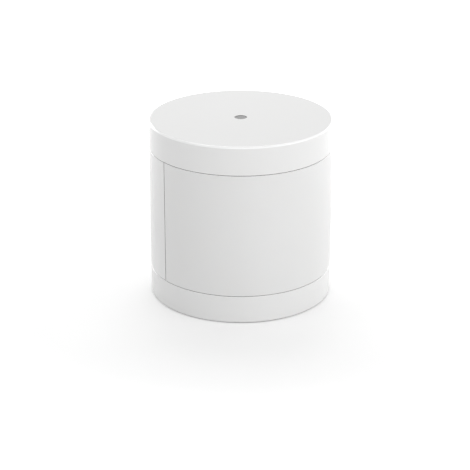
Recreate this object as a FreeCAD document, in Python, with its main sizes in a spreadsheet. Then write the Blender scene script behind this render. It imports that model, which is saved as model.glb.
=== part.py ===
"""A round wireless motion detector, 47 mm across and 47 mm high.

Millimetres, +Z up, origin at the centre of the foot, and the lens looks along -Y.
A base module stands still: the base cup with its chassis, and on that the battery in its
holder and the upright circuit board with the infrared sensor. A sleeve goes over it: housing,
lens, cap and light pipe. The sleeve locks with a bayonet and turns 22 degrees to open, which
lets the tamper plunger out. The lithium cell and what holds it decide the size of the case.
Azimuths are degrees round the vertical axis, from +X towards +Y, so the front is at 270.
"""

import FreeCAD
import Part

import math
import os
from types import SimpleNamespace

import Sketcher
from FreeCAD import Placement, Rotation, Vector

FRONT = 270
REAR = 90
SCREW_AZIMUTHS = (30, 150, 270)
FIRST_LUG = 30
LENS_TAB_AZIMUTHS = (FRONT - 45, FRONT + 45)

# Driving dimensions: name, value, meaning
SIZES = (
    ("battery_diameter", 17.0, "lithium cell"),
    ("battery_length", 33.7, "length of the cell without its positive end"),
    ("nub_diameter", 6.6, "positive end of the cell"),
    ("nub_height", 0.8, "height of that end"),
    ("battery_rear_gap", 0.15, "gap between the cell and the collar's bore"),
    ("cell_edge_round", 0.5, "radius on the cell's rims"),
    ("holder_fit", 0.2, "radial gap round the cell in its holder"),
    ("holder_wall", 0.7, "wall of the battery holder"),
    ("holder_floor", 0.8, "floor of the battery holder"),
    ("holder_roof", 1.0, "roof of the battery holder"),
    ("holder_headroom", 0.4, "space between the holder and the cap's ribs"),
    ("holder_gate", 4.5, "how far the holder's arms reach past the cell's middle"),
    ("holder_board_gap", 0.15, "gap between the holder and the board"),
    ("holder_rear_gap", 0.5, "gap between the holder's plates and the collar's bore"),
    ("contact_thickness", 0.3, "battery contacts"),
    ("contact_width", 3.0, "width of the contacts' legs"),
    ("contact_side", 5.0, "from the middle to a contact's leg"),
    ("contact_leg", 4.8, "how far the legs lie along the board"),
    ("contact_slot_fit", 0.2, "gap round a contact in its slot in the holder"),
    ("contact_disc_diameter", 13.0, "plate under the battery spring"),
    ("spring_height", 1.5, "space for the battery spring"),
    ("spring_wire", 0.5, "wire of the battery spring"),
    ("spring_foot_diameter", 11.0, "lowest turn of the battery spring, at the wire's middle"),
    ("spring_top_diameter", 5.2, "highest turn of that spring"),
    ("spring_turns", 3, "turns of that spring"),
    ("cap_top", 1.6, "thickness of the cap's disc"),
    ("cap_wall", 2.4, "thickness of the cap's side"),
    ("cap_height", 7.4, "side of the cap that shows above the upper seam"),
    ("base_height", 7.34, "side of the base that shows below the lower seam"),
    ("seam_gap", 0.1, "shadow gap at both round seams"),
    ("seam_edge_break", 0.06, "small chamfer on the edges that face down at those seams"),
    ("seam_rim_break", 0.16, "chamfer on the rims that face up at those seams"),
    ("top_edge_round", 0.5, "radius round the top of the cap"),
    ("foot_round", 0.6, "radius round the foot of the base"),
    ("spigot_reach", 2.15, "how far the cap's spigot goes into the housing"),
    ("spigot_wall", 1.25, "thickness of the spigot"),
    ("spigot_web", 0.6, "from the upper seam up to the slope inside the spigot"),
    ("spigot_fit", 0.15, "radial gap between the spigot and the housing's bore"),
    ("snap_bead", 0.2, "height of the spigot's snap bead"),
    ("snap_bead_width", 0.6, "width of that bead"),
    ("snap_groove_width", 0.7, "bed of the groove that the bead snaps into"),
    ("snap_fit", 0.25, "radial gap between the bead and its groove"),
    ("snap_rise", 1.1, "from the spigot's end to the middle of its snap bead"),
    ("cap_rib_depth", 0.6, "depth of the ribs under the cap's disc"),
    ("cap_rib_width", 1.0, "thickness of those ribs"),
    ("cap_rib_inset", 1.2, "from those ribs to the cap's side and to the middle tube"),
    ("cap_rib_count", 6, "number of those ribs"),
    ("pipe_diameter", 3.1, "light pipe's round window in the cap"),
    ("pipe_fit", 0.06, "radial gap round the light pipe"),
    ("pipe_recess", 0.1, "how far the light pipe's end lies below the cap's top"),
    ("pipe_taper", 0.25, "how much the light pipe narrows towards the lamp"),
    ("pipe_boss_wall", 0.64, "wall of the tube that holds the light pipe"),
    ("pipe_boss_reach", 2.4, "length of that tube below the cap's disc"),
    ("pipe_collar_height", 0.7, "thickness of the light pipe's collar"),
    ("pipe_led_gap", 0.6, "air gap between the light pipe and the lamp"),
    ("sleeve_wall", 2.0, "thickness of the housing's rear wall"),
    ("ledge_width", 1.3, "housing's inner ledge that the cap's spigot stands on"),
    ("ledge_height", 1.0, "thickness of that ledge"),
    ("lens_thickness", 0.85, "thickness of the lens"),
    ("lens_fit", 0.1, "gap between the lens and the frame behind it"),
    ("lens_seam", 0.2, "upright gap between the lens and the rear wall"),
    ("lens_tab_sweep", 8.0, "degrees that each lens tab spans"),
    ("lens_tab_play", 1.0, "degrees by which a tab's notch is wider"),
    ("lens_tab_height", 1.0, "height of the lens tabs"),
    ("lens_groove_depth", 0.15, "depth of the lines between the lens facets"),
    ("lens_groove_width", 0.3, "width of those lines"),
    ("lens_columns", 9, "facets side by side"),
    ("lens_rows", 3, "facets one above the other"),
    ("window_sill", 3.6, "frame below the window"),
    ("window_head", 5.0, "frame above the window"),
    ("window_sweep", 144.0, "degrees that the window spans"),
    ("lug_count", 3, "bayonet lugs"),
    ("lug_sweep", 14.0, "degrees that a bayonet lug spans"),
    ("lug_depth", 1.2, "how far a lug stands out of the housing's bore"),
    ("lug_height", 1.4, "thickness of a lug"),
    ("lug_rise", 1.65, "height of the lugs above the sleeve's foot"),
    ("lug_gap", 0.15, "gap above and below a lug in its slot"),
    ("lug_play", 1.0, "degrees of free space at each end of a slot"),
    ("turn_angle", 22.0, "degrees from locked to open"),
    ("base_bore_step", 0.2, "how much wider the base cup's bore is than the housing's"),
    ("base_floor", 2.0, "thickness of the base cup's floor"),
    ("boss_height", 2.6, "height of the screw bosses in the base cup"),
    ("boss_diameter", 4.8, "outside of the screw bosses"),
    ("plate_diameter", 22.0, "steel plate under the base"),
    ("plate_thickness", 0.8, "thickness of that plate"),
    ("plate_recess", 0.1, "how far the plate lies above the foot"),
    ("plate_fit", 0.1, "gap round the plate in its pocket"),
    ("chassis_floor", 1.4, "thickness of the chassis's floor"),
    ("chassis_fit", 0.2, "radial gap between the chassis and the base cup"),
    ("collar_fit", 0.3, "radial gap between the chassis's collar and the bore"),
    ("collar_wall", 1.4, "thickness of the collar"),
    ("collar_lip", 1.1, "height of the collar above the bayonet slots"),
    ("battery_gate", 50.0, "degrees cut out of the collar behind the battery"),
    ("screw_diameter", 2.0, "shank of all screws"),
    ("screw_head_diameter", 3.6, "head of all screws"),
    ("screw_head_height", 1.3, "height of those heads"),
    ("screw_recess_width", 0.6, "arms of the cross in those heads"),
    ("screw_recess_span", 2.2, "length of those arms, from end to end"),
    ("screw_recess_depth", 0.7, "depth of that cross"),
    ("thread_gap", 0.02, "radial gap round a screw in its pilot hole"),
    ("screw_hole_gap", 0.1, "radial gap round a screw in a clearance hole"),
    ("pilot_spare", 0.3, "how far a pilot hole goes past the screw's end"),
    ("chassis_screw_length", 4.6, "shank of the chassis screws"),
    ("chassis_screw_inset", 2.8, "from the collar's bore to the chassis screws"),
    ("board_screw_length", 4.2, "shank of the board screws"),
    ("board_screw_inset", 4.4, "from the board's edge to its screws"),
    ("board_screw_rise", 2.6, "from the board's foot to its screws"),
    ("board_post_depth", 4.0, "depth of the posts behind the board"),
    ("board_post_width", 3.2, "width of those posts"),
    ("board_offset", 1.6, "from the case's axis back to the board's rear face"),
    ("board_thickness", 1.2, "circuit board"),
    ("board_side_gap", 2.8, "from the collar's bore to the board's edge"),
    ("board_stand", 2.0, "height of the board above the chassis's floor"),
    ("board_headroom", 4.8, "space between the board and the cap's disc"),
    ("board_corner", 3.0, "chamfer on the board's top corners"),
    ("rail_cover", 1.4, "how far the rails reach over the board's faces"),
    ("rail_wall", 1.5, "thickness of the rails"),
    ("rail_fit", 0.1, "gap between the rails and the board"),
    ("rail_gap", 2.35, "from the rails up to the tamper switch"),
    ("sensor_can_diameter", 8.3, "infrared sensor"),
    ("sensor_can_height", 4.2, "height of the sensor on the board"),
    ("sensor_can_wall", 0.3, "sheet metal of the sensor's can"),
    ("sensor_flange_lip", 0.45, "how far the sensor's rim stands out of its can"),
    ("sensor_header_height", 0.5, "thickness of the sensor's header"),
    ("sensor_filter_width", 4.7, "infrared filter in the sensor's face"),
    ("sensor_filter_height", 3.7, "height of that filter"),
    ("sensor_filter_rim", 0.3, "edge of the filter behind the can's face"),
    ("sensor_chip_width", 3.0, "heat-sensing chip on the header"),
    ("sensor_chip_height", 1.2, "how far that chip stands off the header"),
    ("sensor_lead_diameter", 0.45, "leads of the sensor"),
    ("sensor_lead_circle", 5.08, "circle on which those leads lie"),
    ("lead_hole_gap", 0.05, "radial gap round a lead in the board"),
    ("guard_diameter", 14.0, "rubber guard round the sensor"),
    ("guard_height", 3.0, "height of that guard"),
    ("guard_fit", 0.15, "gap between the guard and the sensor's rim"),
    ("part_gap", 0.6, "least gap between parts on the board"),
    ("led_width", 3.0, "status lamp"),
    ("led_height", 1.0, "height of that lamp"),
    ("led_reach", 0.9, "how far that lamp reaches in front of the case's axis"),
    ("led_inset", 0.2, "from the board's top edge to the lamp"),
    ("shield_depth", 1.9, "radio's metal screen"),
    ("shield_height", 8.8, "height of that screen"),
    ("shield_sheet", 0.2, "sheet metal of that screen"),
    ("chip_side", 5.6, "controller chip"),
    ("chip_depth", 0.9, "thickness of that chip"),
    ("crystal_width", 3.2, "quartz crystal"),
    ("crystal_height", 2.5, "height of the crystal"),
    ("crystal_depth", 0.8, "thickness of the crystal"),
    ("small_part_length", 1.6, "chip capacitors and resistors"),
    ("small_part_width", 0.8, "width of those chips"),
    ("small_part_depth", 0.6, "thickness of those chips"),
    ("small_part_pitch", 1.4, "from one of those chips to the next"),
    ("capacitor_count", 4, "chip capacitors beside the controller"),
    ("resistor_count", 6, "chip resistors beside the sensor"),
    ("reservoir_diameter", 4.0, "reservoir capacitor"),
    ("reservoir_height", 5.0, "height of that capacitor"),
    ("thermistor_diameter", 1.6, "temperature sensor"),
    ("thermistor_height", 1.5, "height of the temperature sensor"),
    ("antenna_diameter", 4.6, "middle of the antenna's turns"),
    ("antenna_wire", 0.6, "wire of the antenna"),
    ("antenna_pitch", 1.5, "height of one turn of the antenna"),
    ("antenna_turns", 7, "turns of the antenna"),
    ("antenna_inset", 3.0, "from the board's edge to the antenna's middle"),
    ("antenna_stand", 1.0, "gap between the antenna and the board"),
    ("tamper_travel", 0.8, "how far the tamper plunger comes out"),
    ("tamper_reach", 2.3, "from the switch to the plunger's tip, pressed in"),
    ("tamper_depth", 2.8, "depth of the tamper switch behind the board"),
    ("tamper_length", 4.0, "length of the tamper switch"),
    ("tamper_height", 5.2, "height of the tamper switch"),
    ("tamper_inset", 0.2, "from the board's edge to the tamper switch"),
    ("tamper_wall", 0.6, "face of the switch that keeps the plunger in"),
    ("tamper_pin_width", 1.6, "plunger's width"),
    ("tamper_pin_height", 2.4, "plunger's height"),
    ("tamper_collar", 0.6, "thickness of the plunger's collar"),
    ("tamper_collar_lip", 0.2, "how far that collar stands out of the plunger"),
    ("tamper_fit", 0.1, "gap round the plunger"),
    ("tamper_rise", 6.0, "height of the plunger above the sensor's middle"),
    ("cam_gap", 0.2, "gap between the plunger's tip and the cam"),
    ("cam_height", 3.0, "height of the cam inside the housing"),
    ("cam_lead", 3.0, "degrees of cam past each end of the turn"),
    ("button_diameter", 2.0, "pairing button"),
    ("button_reach", 1.1, "how far the button stands out of its switch"),
    ("button_travel", 0.25, "how far the button goes in"),
    ("button_collar", 0.35, "thickness of the button's collar"),
    ("button_collar_lip", 0.4, "how far that collar stands out of the button"),
    ("button_fit", 0.1, "gap round the button"),
    ("button_switch_side", 4.5, "pairing switch"),
    ("button_switch_depth", 1.7, "depth of the pairing switch"),
    ("button_switch_wall", 0.4, "face of that switch"),
)


class Size:
    """A number that comes from the sheet, kept together with its formula."""

    def __init__(self, formula, number):
        self.formula = formula
        self.number = number

    def __add__(self, other):
        return Size(f"({self.formula} + {formula(other)})", self.number + number(other))

    def __radd__(self, other):
        return Size(f"({other} + {self.formula})", other + self.number)

    def __sub__(self, other):
        return Size(f"({self.formula} - {formula(other)})", self.number - number(other))

    def __rsub__(self, other):
        return Size(f"({other} - {self.formula})", other - self.number)

    def __mul__(self, other):
        return Size(f"({self.formula} * {formula(other)})", self.number * number(other))

    __rmul__ = __mul__

    def __truediv__(self, other):
        return Size(f"({self.formula} / {formula(other)})", self.number / number(other))

    def __neg__(self):
        return Size(f"(0 - {self.formula})", -self.number)


def formula(value):
    return value.formula if isinstance(value, Size) else str(value)


def number(value):
    return value.number if isinstance(value, Size) else value


def sine(degrees):
    return Size(f"sin({formula(degrees)})", math.sin(math.radians(number(degrees))))


def cosine(degrees):
    return Size(f"cos({formula(degrees)})", math.cos(math.radians(number(degrees))))


def root(value):
    return Size(f"sqrt({formula(value)})", math.sqrt(number(value)))


def slope_angle(rise, run):
    """The angle in degrees of a line that rises by one length over another."""
    steepness = rise / run
    degrees = math.degrees(math.atan(number(steepness)))
    return Size(f"(atan({steepness.formula}) / 1 deg)", degrees)


def polar(radius, azimuth):
    return (radius * cosine(azimuth), radius * sine(azimuth))


doc = FreeCAD.newDocument("motion_detector")
sheet = doc.addObject("Spreadsheet::Sheet", "sizes")
for row, (name, value, meaning) in enumerate(SIZES, 1):
    sheet.set(f"A{row}", name)
    sheet.set(f"B{row}", str(value))
    sheet.set(f"C{row}", meaning)
    sheet.setAlias(f"B{row}", name)
doc.recompute()
size = SimpleNamespace(**{name: Size(f"sizes.{name}", getattr(sheet, name)) for name, _, _ in SIZES})

# Heights, from the foot upwards
plate_top = size.plate_recess + size.plate_thickness
chassis_underside = size.base_floor + size.boss_height
chassis_top = chassis_underside + size.chassis_floor
holder_floor_top = chassis_top + size.holder_floor
spring_foot = holder_floor_top + size.contact_thickness
battery_foot = spring_foot + size.spring_height
battery_top = battery_foot + size.battery_length
contact_foot = battery_top + size.nub_height
roof_foot = contact_foot + size.contact_thickness
holder_top = roof_foot + size.holder_roof
cap_underside = holder_top + size.holder_headroom + size.cap_rib_depth
case_height = cap_underside + size.cap_top
cap_foot = case_height - size.cap_height
sleeve_top = cap_foot - size.seam_gap
sleeve_foot = size.base_height + size.seam_gap
ledge_top = sleeve_top - size.spigot_reach
snap_level = ledge_top + size.snap_rise
window_foot = sleeve_foot + size.window_sill
window_top = sleeve_top - size.window_head
window_middle = (window_foot + window_top) / 2
lug_foot = sleeve_foot + size.lug_rise
lug_top = lug_foot + size.lug_height
slot_foot = lug_foot - size.lug_gap
slot_top = lug_top + size.lug_gap
collar_top = slot_top + size.collar_lip
board_foot = chassis_top + size.board_stand
board_top = cap_underside - size.board_headroom
led_top = board_top - size.led_inset
pipe_boss_foot = cap_underside - size.pipe_boss_reach
tamper_level = window_middle + size.tamper_rise
rail_top = tamper_level - size.tamper_height / 2 - size.rail_gap
board_screw_level = board_foot + size.board_screw_rise

# Depths and radii, from the case's axis outwards
board_back = size.board_offset
board_front = board_back - size.board_thickness
battery_radius = size.battery_diameter / 2
holder_bore = battery_radius + size.holder_fit
holder_radius = holder_bore + size.holder_wall
battery_y = board_back + size.holder_board_gap + holder_radius
collar_bore = battery_y + battery_radius + size.battery_rear_gap
collar_radius = collar_bore + size.collar_wall
bore_radius = collar_radius + size.collar_fit
case_radius = bore_radius + size.sleeve_wall
spigot_radius = bore_radius - size.spigot_fit
spigot_bore = spigot_radius - size.spigot_wall
snap_groove_radius = spigot_radius + size.snap_bead + size.snap_fit
cap_bore = case_radius - size.cap_wall
base_bore = bore_radius + size.base_bore_step
lens_inner = case_radius - size.lens_thickness
lens_seat = lens_inner - size.lens_fit
lens_tab_tip = bore_radius + size.lens_fit
pipe_radius = size.pipe_diameter / 2
pipe_bore = pipe_radius + size.pipe_fit
pipe_boss_radius = pipe_bore + size.pipe_boss_wall
screw_radius = size.screw_diameter / 2
screw_circle = collar_bore - size.chassis_screw_inset
board_half = collar_bore - size.board_side_gap
rail_inner = board_half - size.rail_cover
rail_outer = board_half + size.rail_fit + size.rail_wall
board_screw_x = board_half - size.board_screw_inset
guard_radius = size.guard_diameter / 2
tamper_face = board_half - size.tamper_inset
tamper_tip = tamper_face + size.tamper_reach
tamper_y = board_back + size.tamper_depth / 2
button_level = window_middle - guard_radius - size.part_gap - size.button_switch_side / 2

# Every finished sub-part of the detector, in the order in which it is made
pieces = []


def bind(thing, field, value):
    thing.setExpression(field, formula(value))


def finished(thing, name):
    thing.Label = name
    pieces.append(thing)
    return thing


def new_body(name):
    return finished(doc.addObject("PartDesign::Body", name), name)


def origin_plane(body, role):
    return next(item for item in body.Origin.OriginFeatures if item.Role == role)


def outline(body, name, corners, plane="XZ_Plane", azimuth=0, level=0):
    """A closed outline whose corners are tied to the sheet, on a plane through the axis that
    faces an azimuth, or on a level plane."""
    sketch = body.newObject("Sketcher::SketchObject", f"{name}_outline")
    sketch.AttachmentSupport = [(origin_plane(body, plane), "")]
    sketch.MapMode = "FlatFace"
    sketch.AttachmentOffset = Placement(Vector(), Rotation(Vector(0, 1, 0), number(azimuth)))
    if azimuth:
        bind(sketch, "AttachmentOffset.Rotation.Angle", azimuth)
    bind(sketch, "AttachmentOffset.Base.z", level)
    points = [Vector(number(across), number(up), 0) for across, up in corners]
    for start, end in zip(points, points[1:] + points[:1]):
        sketch.addGeometry(Part.LineSegment(start, end), False)
    for line in range(len(points)):
        following = (line + 1) % len(points)
        sketch.addConstraint(Sketcher.Constraint("Coincident", line, 2, following, 1))
    for line, corner in enumerate(corners):
        for direction, place in zip(("DistanceX", "DistanceY"), corner):
            rule = Sketcher.Constraint(direction, -1, 1, line, 1, number(place))
            bind(sketch, f"Constraints[{sketch.addConstraint(rule)}]", place)
    return sketch


def turned(body, name, corners, sweep=360, azimuth=0, cut=False):
    """Turn an outline of (radius, height) corners round the case's axis."""
    sketch = outline(body, name, corners, azimuth=azimuth)
    feature = body.newObject("PartDesign::Groove" if cut else "PartDesign::Revolution", name)
    feature.Profile = sketch
    feature.ReferenceAxis = (sketch, ["V_Axis"])
    feature.Midplane = True
    bind(feature, "Angle", sweep)
    return feature


def ring(inner, outer, foot, top):
    return [(inner, foot), (outer, foot), (outer, top), (inner, top)]


def body_block(body, name, x, y, z, cut=False):
    """A block in a body, from the low and high end along each direction."""
    kind = "PartDesign::SubtractiveBox" if cut else "PartDesign::AdditiveBox"
    feature = body.newObject(kind, name)
    set_block(feature, x, y, z)
    return feature


def body_rod(body, name, place, radius, length, cut=False, facing_front=False):
    """A round rod in a body that goes up from its place, or towards the front."""
    kind = "PartDesign::SubtractiveCylinder" if cut else "PartDesign::AdditiveCylinder"
    feature = body.newObject(kind, name)
    set_rod(feature, place, radius, length, facing_front)
    return feature


def set_block(thing, x, y, z):
    for side, axis, (low, high) in zip(("Length", "Width", "Height"), "xyz", (x, y, z)):
        bind(thing, side, high - low)
        bind(thing, f"Placement.Base.{axis}", low)


def set_rod(thing, place, radius, length, facing_front):
    if facing_front:
        thing.Placement = Placement(Vector(), Rotation(Vector(1, 0, 0), 90))
    bind(thing, "Radius", radius)
    bind(thing, "Height", length)
    for axis, value in zip("xyz", place):
        bind(thing, f"Placement.Base.{axis}", value)


def around(body, name, features, count):
    """Repeat features of a body evenly round the case's axis."""
    pattern = body.newObject("PartDesign::PolarPattern", name)
    pattern.Originals = features
    pattern.Axis = (origin_plane(body, "Z_Axis"), [""])
    pattern.Angle = 360
    bind(pattern, "Occurrences", count)
    body.Tip = pattern
    return pattern


def rounded_rim(body, name, feature, radius, level, rounding):
    """Round the circular edge of a body that has a given radius and height."""
    doc.recompute()
    edges = []
    for index, edge in enumerate(feature.Shape.Edges, 1):
        box = edge.BoundBox
        at_level = abs(box.ZMin - number(level)) + abs(box.ZMax - number(level)) < 1e-4
        if at_level and abs(box.XMax - number(radius)) < 1e-4:
            edges.append(f"Edge{index}")
    fillet = body.newObject("PartDesign::Fillet", name)
    fillet.Base = (feature, edges)
    bind(fillet, "Radius", rounding)
    return fillet


def block(x, y, z):
    thing = doc.addObject("Part::Box", "block")
    set_block(thing, x, y, z)
    return thing


def rod(place, radius, length, facing_front=False):
    thing = doc.addObject("Part::Cylinder", "rod")
    set_rod(thing, place, radius, length, facing_front)
    return thing


def fused(*things):
    whole = doc.addObject("Part::MultiFuse", "fused")
    whole.Shapes = list(things)
    return whole


def cut_away(base, tool):
    rest = doc.addObject("Part::Cut", "cut")
    rest.Base = base
    rest.Tool = tool
    return rest


def grouped(things):
    group = doc.addObject("Part::Compound", "group")
    group.Links = list(things)
    return group


def middle(centre, width):
    """The low and high end of a width round its centre."""
    return (centre - width / 2, centre + width / 2)


def mirrored(span, side):
    """The same span to the right of the axis, or on its left side."""
    low, high = span
    return (low, high) if side > 0 else (-high, -low)


def make_base_cup():
    """The lower band of the case, with bosses inside and a pocket for the plate below."""
    cup = new_body("base_cup")
    rim = size.seam_rim_break
    pocket_radius = size.plate_diameter / 2 + size.plate_fit
    shell = turned(cup, "cup_shell", [
        (0, plate_top), (pocket_radius, plate_top), (pocket_radius, 0), (case_radius, 0),
        (case_radius, size.base_height - rim), (case_radius - rim, size.base_height),
        (base_bore, size.base_height), (base_bore, size.base_floor), (0, size.base_floor)])
    rounded_rim(cup, "foot_rounding", shell, case_radius, 0, size.foot_round)
    pilot_depth = size.chassis_screw_length + size.pilot_spare
    for azimuth in SCREW_AZIMUTHS:
        x, y = polar(screw_circle, azimuth)
        body_rod(cup, f"boss_{azimuth}", (x, y, size.base_floor), size.boss_diameter / 2, size.boss_height)
        foot = chassis_top - pilot_depth
        pilot_radius = screw_radius + size.thread_gap
        body_rod(cup, f"pilot_{azimuth}", (x, y, foot), pilot_radius, pilot_depth, cut=True)


def make_mounting_plate():
    """A steel disc in the foot, for a magnetic bracket."""
    plate = rod((0, 0, size.plate_recess), size.plate_diameter / 2, size.plate_thickness)
    finished(plate, "mounting_plate")


def make_chassis():
    """The inner floor with the bayonet collar, the board's rails and its screw posts."""
    chassis = new_body("chassis")
    floor_radius = base_bore - size.chassis_fit
    turned(chassis, "floor_and_collar", [
        (0, chassis_underside), (floor_radius, chassis_underside), (floor_radius, chassis_top),
        (collar_radius, chassis_top), (collar_radius, collar_top), (collar_bore, collar_top),
        (collar_bore, chassis_top), (0, chassis_top)])
    entry_sweep = size.lug_sweep + 2 * size.lug_play
    clear_inside = collar_bore - size.lug_gap
    clear_outside = collar_radius + size.lug_gap
    slot = turned(
        chassis, "bayonet_slot", ring(clear_inside, clear_outside, slot_foot, slot_top),
        sweep=entry_sweep + size.turn_angle, azimuth=FIRST_LUG + size.turn_angle / 2, cut=True)
    entry = turned(
        chassis, "slot_entry", ring(clear_inside, clear_outside, slot_foot, collar_top + size.lug_gap),
        sweep=entry_sweep, azimuth=FIRST_LUG + size.turn_angle, cut=True)
    around(chassis, "bayonet_slots", [slot, entry], size.lug_count)
    turned(
        chassis, "battery_gate_cut",
        ring(clear_inside, clear_outside, chassis_top, collar_top + size.lug_gap),
        sweep=size.battery_gate, azimuth=REAR, cut=True)
    for azimuth in SCREW_AZIMUTHS:
        x, y = polar(screw_circle, azimuth)
        body_rod(
            chassis, f"screw_hole_{azimuth}", (x, y, chassis_underside),
            screw_radius + size.screw_hole_gap, size.chassis_floor, cut=True)
    post_top = board_screw_level + size.board_post_width
    pilot_depth = size.board_screw_length - size.board_thickness + size.pilot_spare
    for side, hand in ((1, "right"), (-1, "left")):
        body_block(
            chassis, f"rail_{hand}", mirrored((rail_inner, rail_outer), side),
            (board_front - size.rail_cover, board_back + size.rail_cover), (chassis_top, rail_top))
        body_block(
            chassis, f"rail_slot_{hand}",
            mirrored((rail_inner - size.rail_fit, board_half + size.rail_fit), side),
            (board_front - size.rail_fit, board_back + size.rail_fit),
            (board_foot, rail_top + size.rail_fit), cut=True)
        body_block(
            chassis, f"post_{hand}", mirrored(middle(board_screw_x, size.board_post_width), side),
            (board_back, board_back + size.board_post_depth), (chassis_top, post_top))
        body_rod(
            chassis, f"post_pilot_{hand}",
            (side * board_screw_x, board_back + pilot_depth, board_screw_level),
            screw_radius + size.thread_gap, pilot_depth, cut=True, facing_front=True)


def screw(place, length, facing_front=False):
    """A pan-head screw with a cross recess, whose head stands on its place."""
    head = rod((0, 0, 0), size.screw_head_diameter / 2, size.screw_head_height)
    shank = rod((0, 0, -length), screw_radius, length)
    arm_width = middle(0, size.screw_recess_width)
    arm_span = middle(0, size.screw_recess_span)
    depth = (size.screw_head_height - size.screw_recess_depth, size.screw_head_height)
    one_way = block(arm_width, arm_span, depth)
    other_way = block(arm_span, arm_width, depth)
    whole = cut_away(fused(head, shank), fused(one_way, other_way))
    if facing_front:
        whole.Placement = Placement(Vector(), Rotation(Vector(1, 0, 0), 90))
    for axis, value in zip("xyz", place):
        bind(whole, f"Placement.Base.{axis}", value)
    return whole


def make_screws():
    chassis_screws = []
    for azimuth in SCREW_AZIMUTHS:
        x, y = polar(screw_circle, azimuth)
        chassis_screws.append(screw((x, y, chassis_top), size.chassis_screw_length))
    finished(grouped(chassis_screws), "chassis_screws")
    board_screws = []
    for side in (1, -1):
        place = (side * board_screw_x, board_front, board_screw_level)
        board_screws.append(screw(place, size.board_screw_length, facing_front=True))
    finished(grouped(board_screws), "board_screws")


def lead_places():
    """The three leads of the infrared sensor: right, top and left of its middle."""
    for azimuth in (0, 90, 180):
        across, up = polar(size.sensor_lead_circle / 2, azimuth)
        yield across, window_middle + up


def make_main_board():
    """The upright circuit board, drilled for its screws and for the sensor's leads."""
    board = new_body("main_board")
    corner_foot = board_top - size.board_corner
    corner_side = board_half - size.board_corner
    sketch = outline(board, "board", [
        (-board_half, board_foot), (board_half, board_foot), (board_half, corner_foot),
        (corner_side, board_top), (-corner_side, board_top), (-board_half, corner_foot)],
        level=-board_back)
    sheet_pad = board.newObject("PartDesign::Pad", "board_sheet")
    sheet_pad.Profile = sketch
    bind(sheet_pad, "Length", size.board_thickness)
    screw_hole = screw_radius + size.screw_hole_gap
    holes = [(side * board_screw_x, board_screw_level, screw_hole) for side in (1, -1)]
    lead_hole = size.sensor_lead_diameter / 2 + size.lead_hole_gap
    holes += [(across, up, lead_hole) for across, up in lead_places()]
    for index, (across, up, radius) in enumerate(holes):
        body_rod(
            board, f"board_hole_{index}", (across, board_back, up), radius, size.board_thickness,
            cut=True, facing_front=True)


def make_battery_holder():
    """A tube with a floor and a roof that grips the cell and is open to the rear."""
    holder = new_body("battery_holder")
    axis = (0, battery_y)
    body_rod(holder, "holder_tube", (*axis, chassis_top), holder_radius, holder_top - chassis_top)
    body_rod(
        holder, "cell_space", (*axis, holder_floor_top), holder_bore,
        roof_foot - holder_floor_top, cut=True)
    wide = (-case_radius, case_radius)
    body_block(
        holder, "rear_opening", wide, (battery_y + size.holder_gate, case_radius),
        (holder_floor_top, roof_foot), cut=True)
    body_block(
        holder, "plate_ends", wide, (collar_bore - size.holder_rear_gap, case_radius),
        (chassis_top, holder_top), cut=True)
    relief = pipe_boss_radius + size.part_gap
    body_block(
        holder, "light_pipe_relief", (-holder_bore, holder_bore), (-case_radius, relief),
        (board_top, holder_top), cut=True)
    slot_width = size.contact_width + 2 * size.contact_slot_fit
    slot_height = size.contact_thickness + size.contact_slot_fit
    body_block(
        holder, "plus_slot", middle(size.contact_side, slot_width), (-case_radius, battery_y),
        (roof_foot - slot_height, roof_foot), cut=True)
    body_block(
        holder, "minus_slot", middle(-size.contact_side, slot_width), (-case_radius, battery_y),
        (holder_floor_top, holder_floor_top + slot_height), cut=True)


def make_battery():
    """The cell and its positive end, and the two contacts with their legs on the board."""
    cell = rod((0, battery_y, battery_foot), battery_radius, size.battery_length)
    rims = doc.addObject("Part::Fillet", "cell_rims")
    rims.Base = cell
    doc.recompute()
    rims.Edges = [
        (index, size.cell_edge_round.number, size.cell_edge_round.number)
        for index, edge in enumerate(cell.Shape.Edges, 1) if edge.Length > size.battery_diameter.number * 3]
    finished(rims, "battery_cell")
    finished(rod((0, battery_y, battery_top), size.nub_diameter / 2, size.nub_height), "battery_terminal")
    leg = (board_back, board_back + size.contact_thickness)
    plus_leg = middle(size.contact_side, size.contact_width)
    strip = (contact_foot, roof_foot)
    plus_end = size.contact_side + size.contact_width / 2
    plus = fused(
        block((-size.nub_diameter / 2, plus_end), middle(battery_y, size.contact_width), strip),
        block(plus_leg, (board_back, battery_y), strip),
        block(plus_leg, leg, (board_top - size.contact_leg + size.part_gap, roof_foot)))
    finished(plus, "positive_contact")
    minus_leg = middle(-size.contact_side, size.contact_width)
    minus = fused(
        rod((0, battery_y, holder_floor_top), size.contact_disc_diameter / 2, size.contact_thickness),
        block(minus_leg, (board_back, battery_y), (holder_floor_top, spring_foot)),
        block(minus_leg, leg, (holder_floor_top, board_foot + size.contact_leg)))
    finished(minus, "negative_contact")


def arc(start, heading, end):
    """A circular arc that leaves its start along a unit heading and reaches its end."""
    chord = end - start
    across = heading - chord * (heading.dot(chord) / chord.dot(chord))
    half_turn = heading.getAngle(chord)
    bulge = across.normalize() * (chord.Length / 2 * math.tan(half_turn / 2))
    return Part.Arc(start, (start + end) / 2 + bulge, end)


def two_arcs(start, heading, end, arrival):
    """Two arcs that meet smoothly and follow a heading at each end."""
    step = end - start
    both = step.dot(heading + arrival)
    spread = 2 * (1 - heading.dot(arrival))
    reach = (math.sqrt(both * both + spread * step.dot(step)) - both) / spread
    joint = (start + end) / 2 + (heading - arrival) * (reach / 2)
    return [arc(start, heading, joint).toShape(), arc(end, arrival * -1, joint).toShape()]


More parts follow.
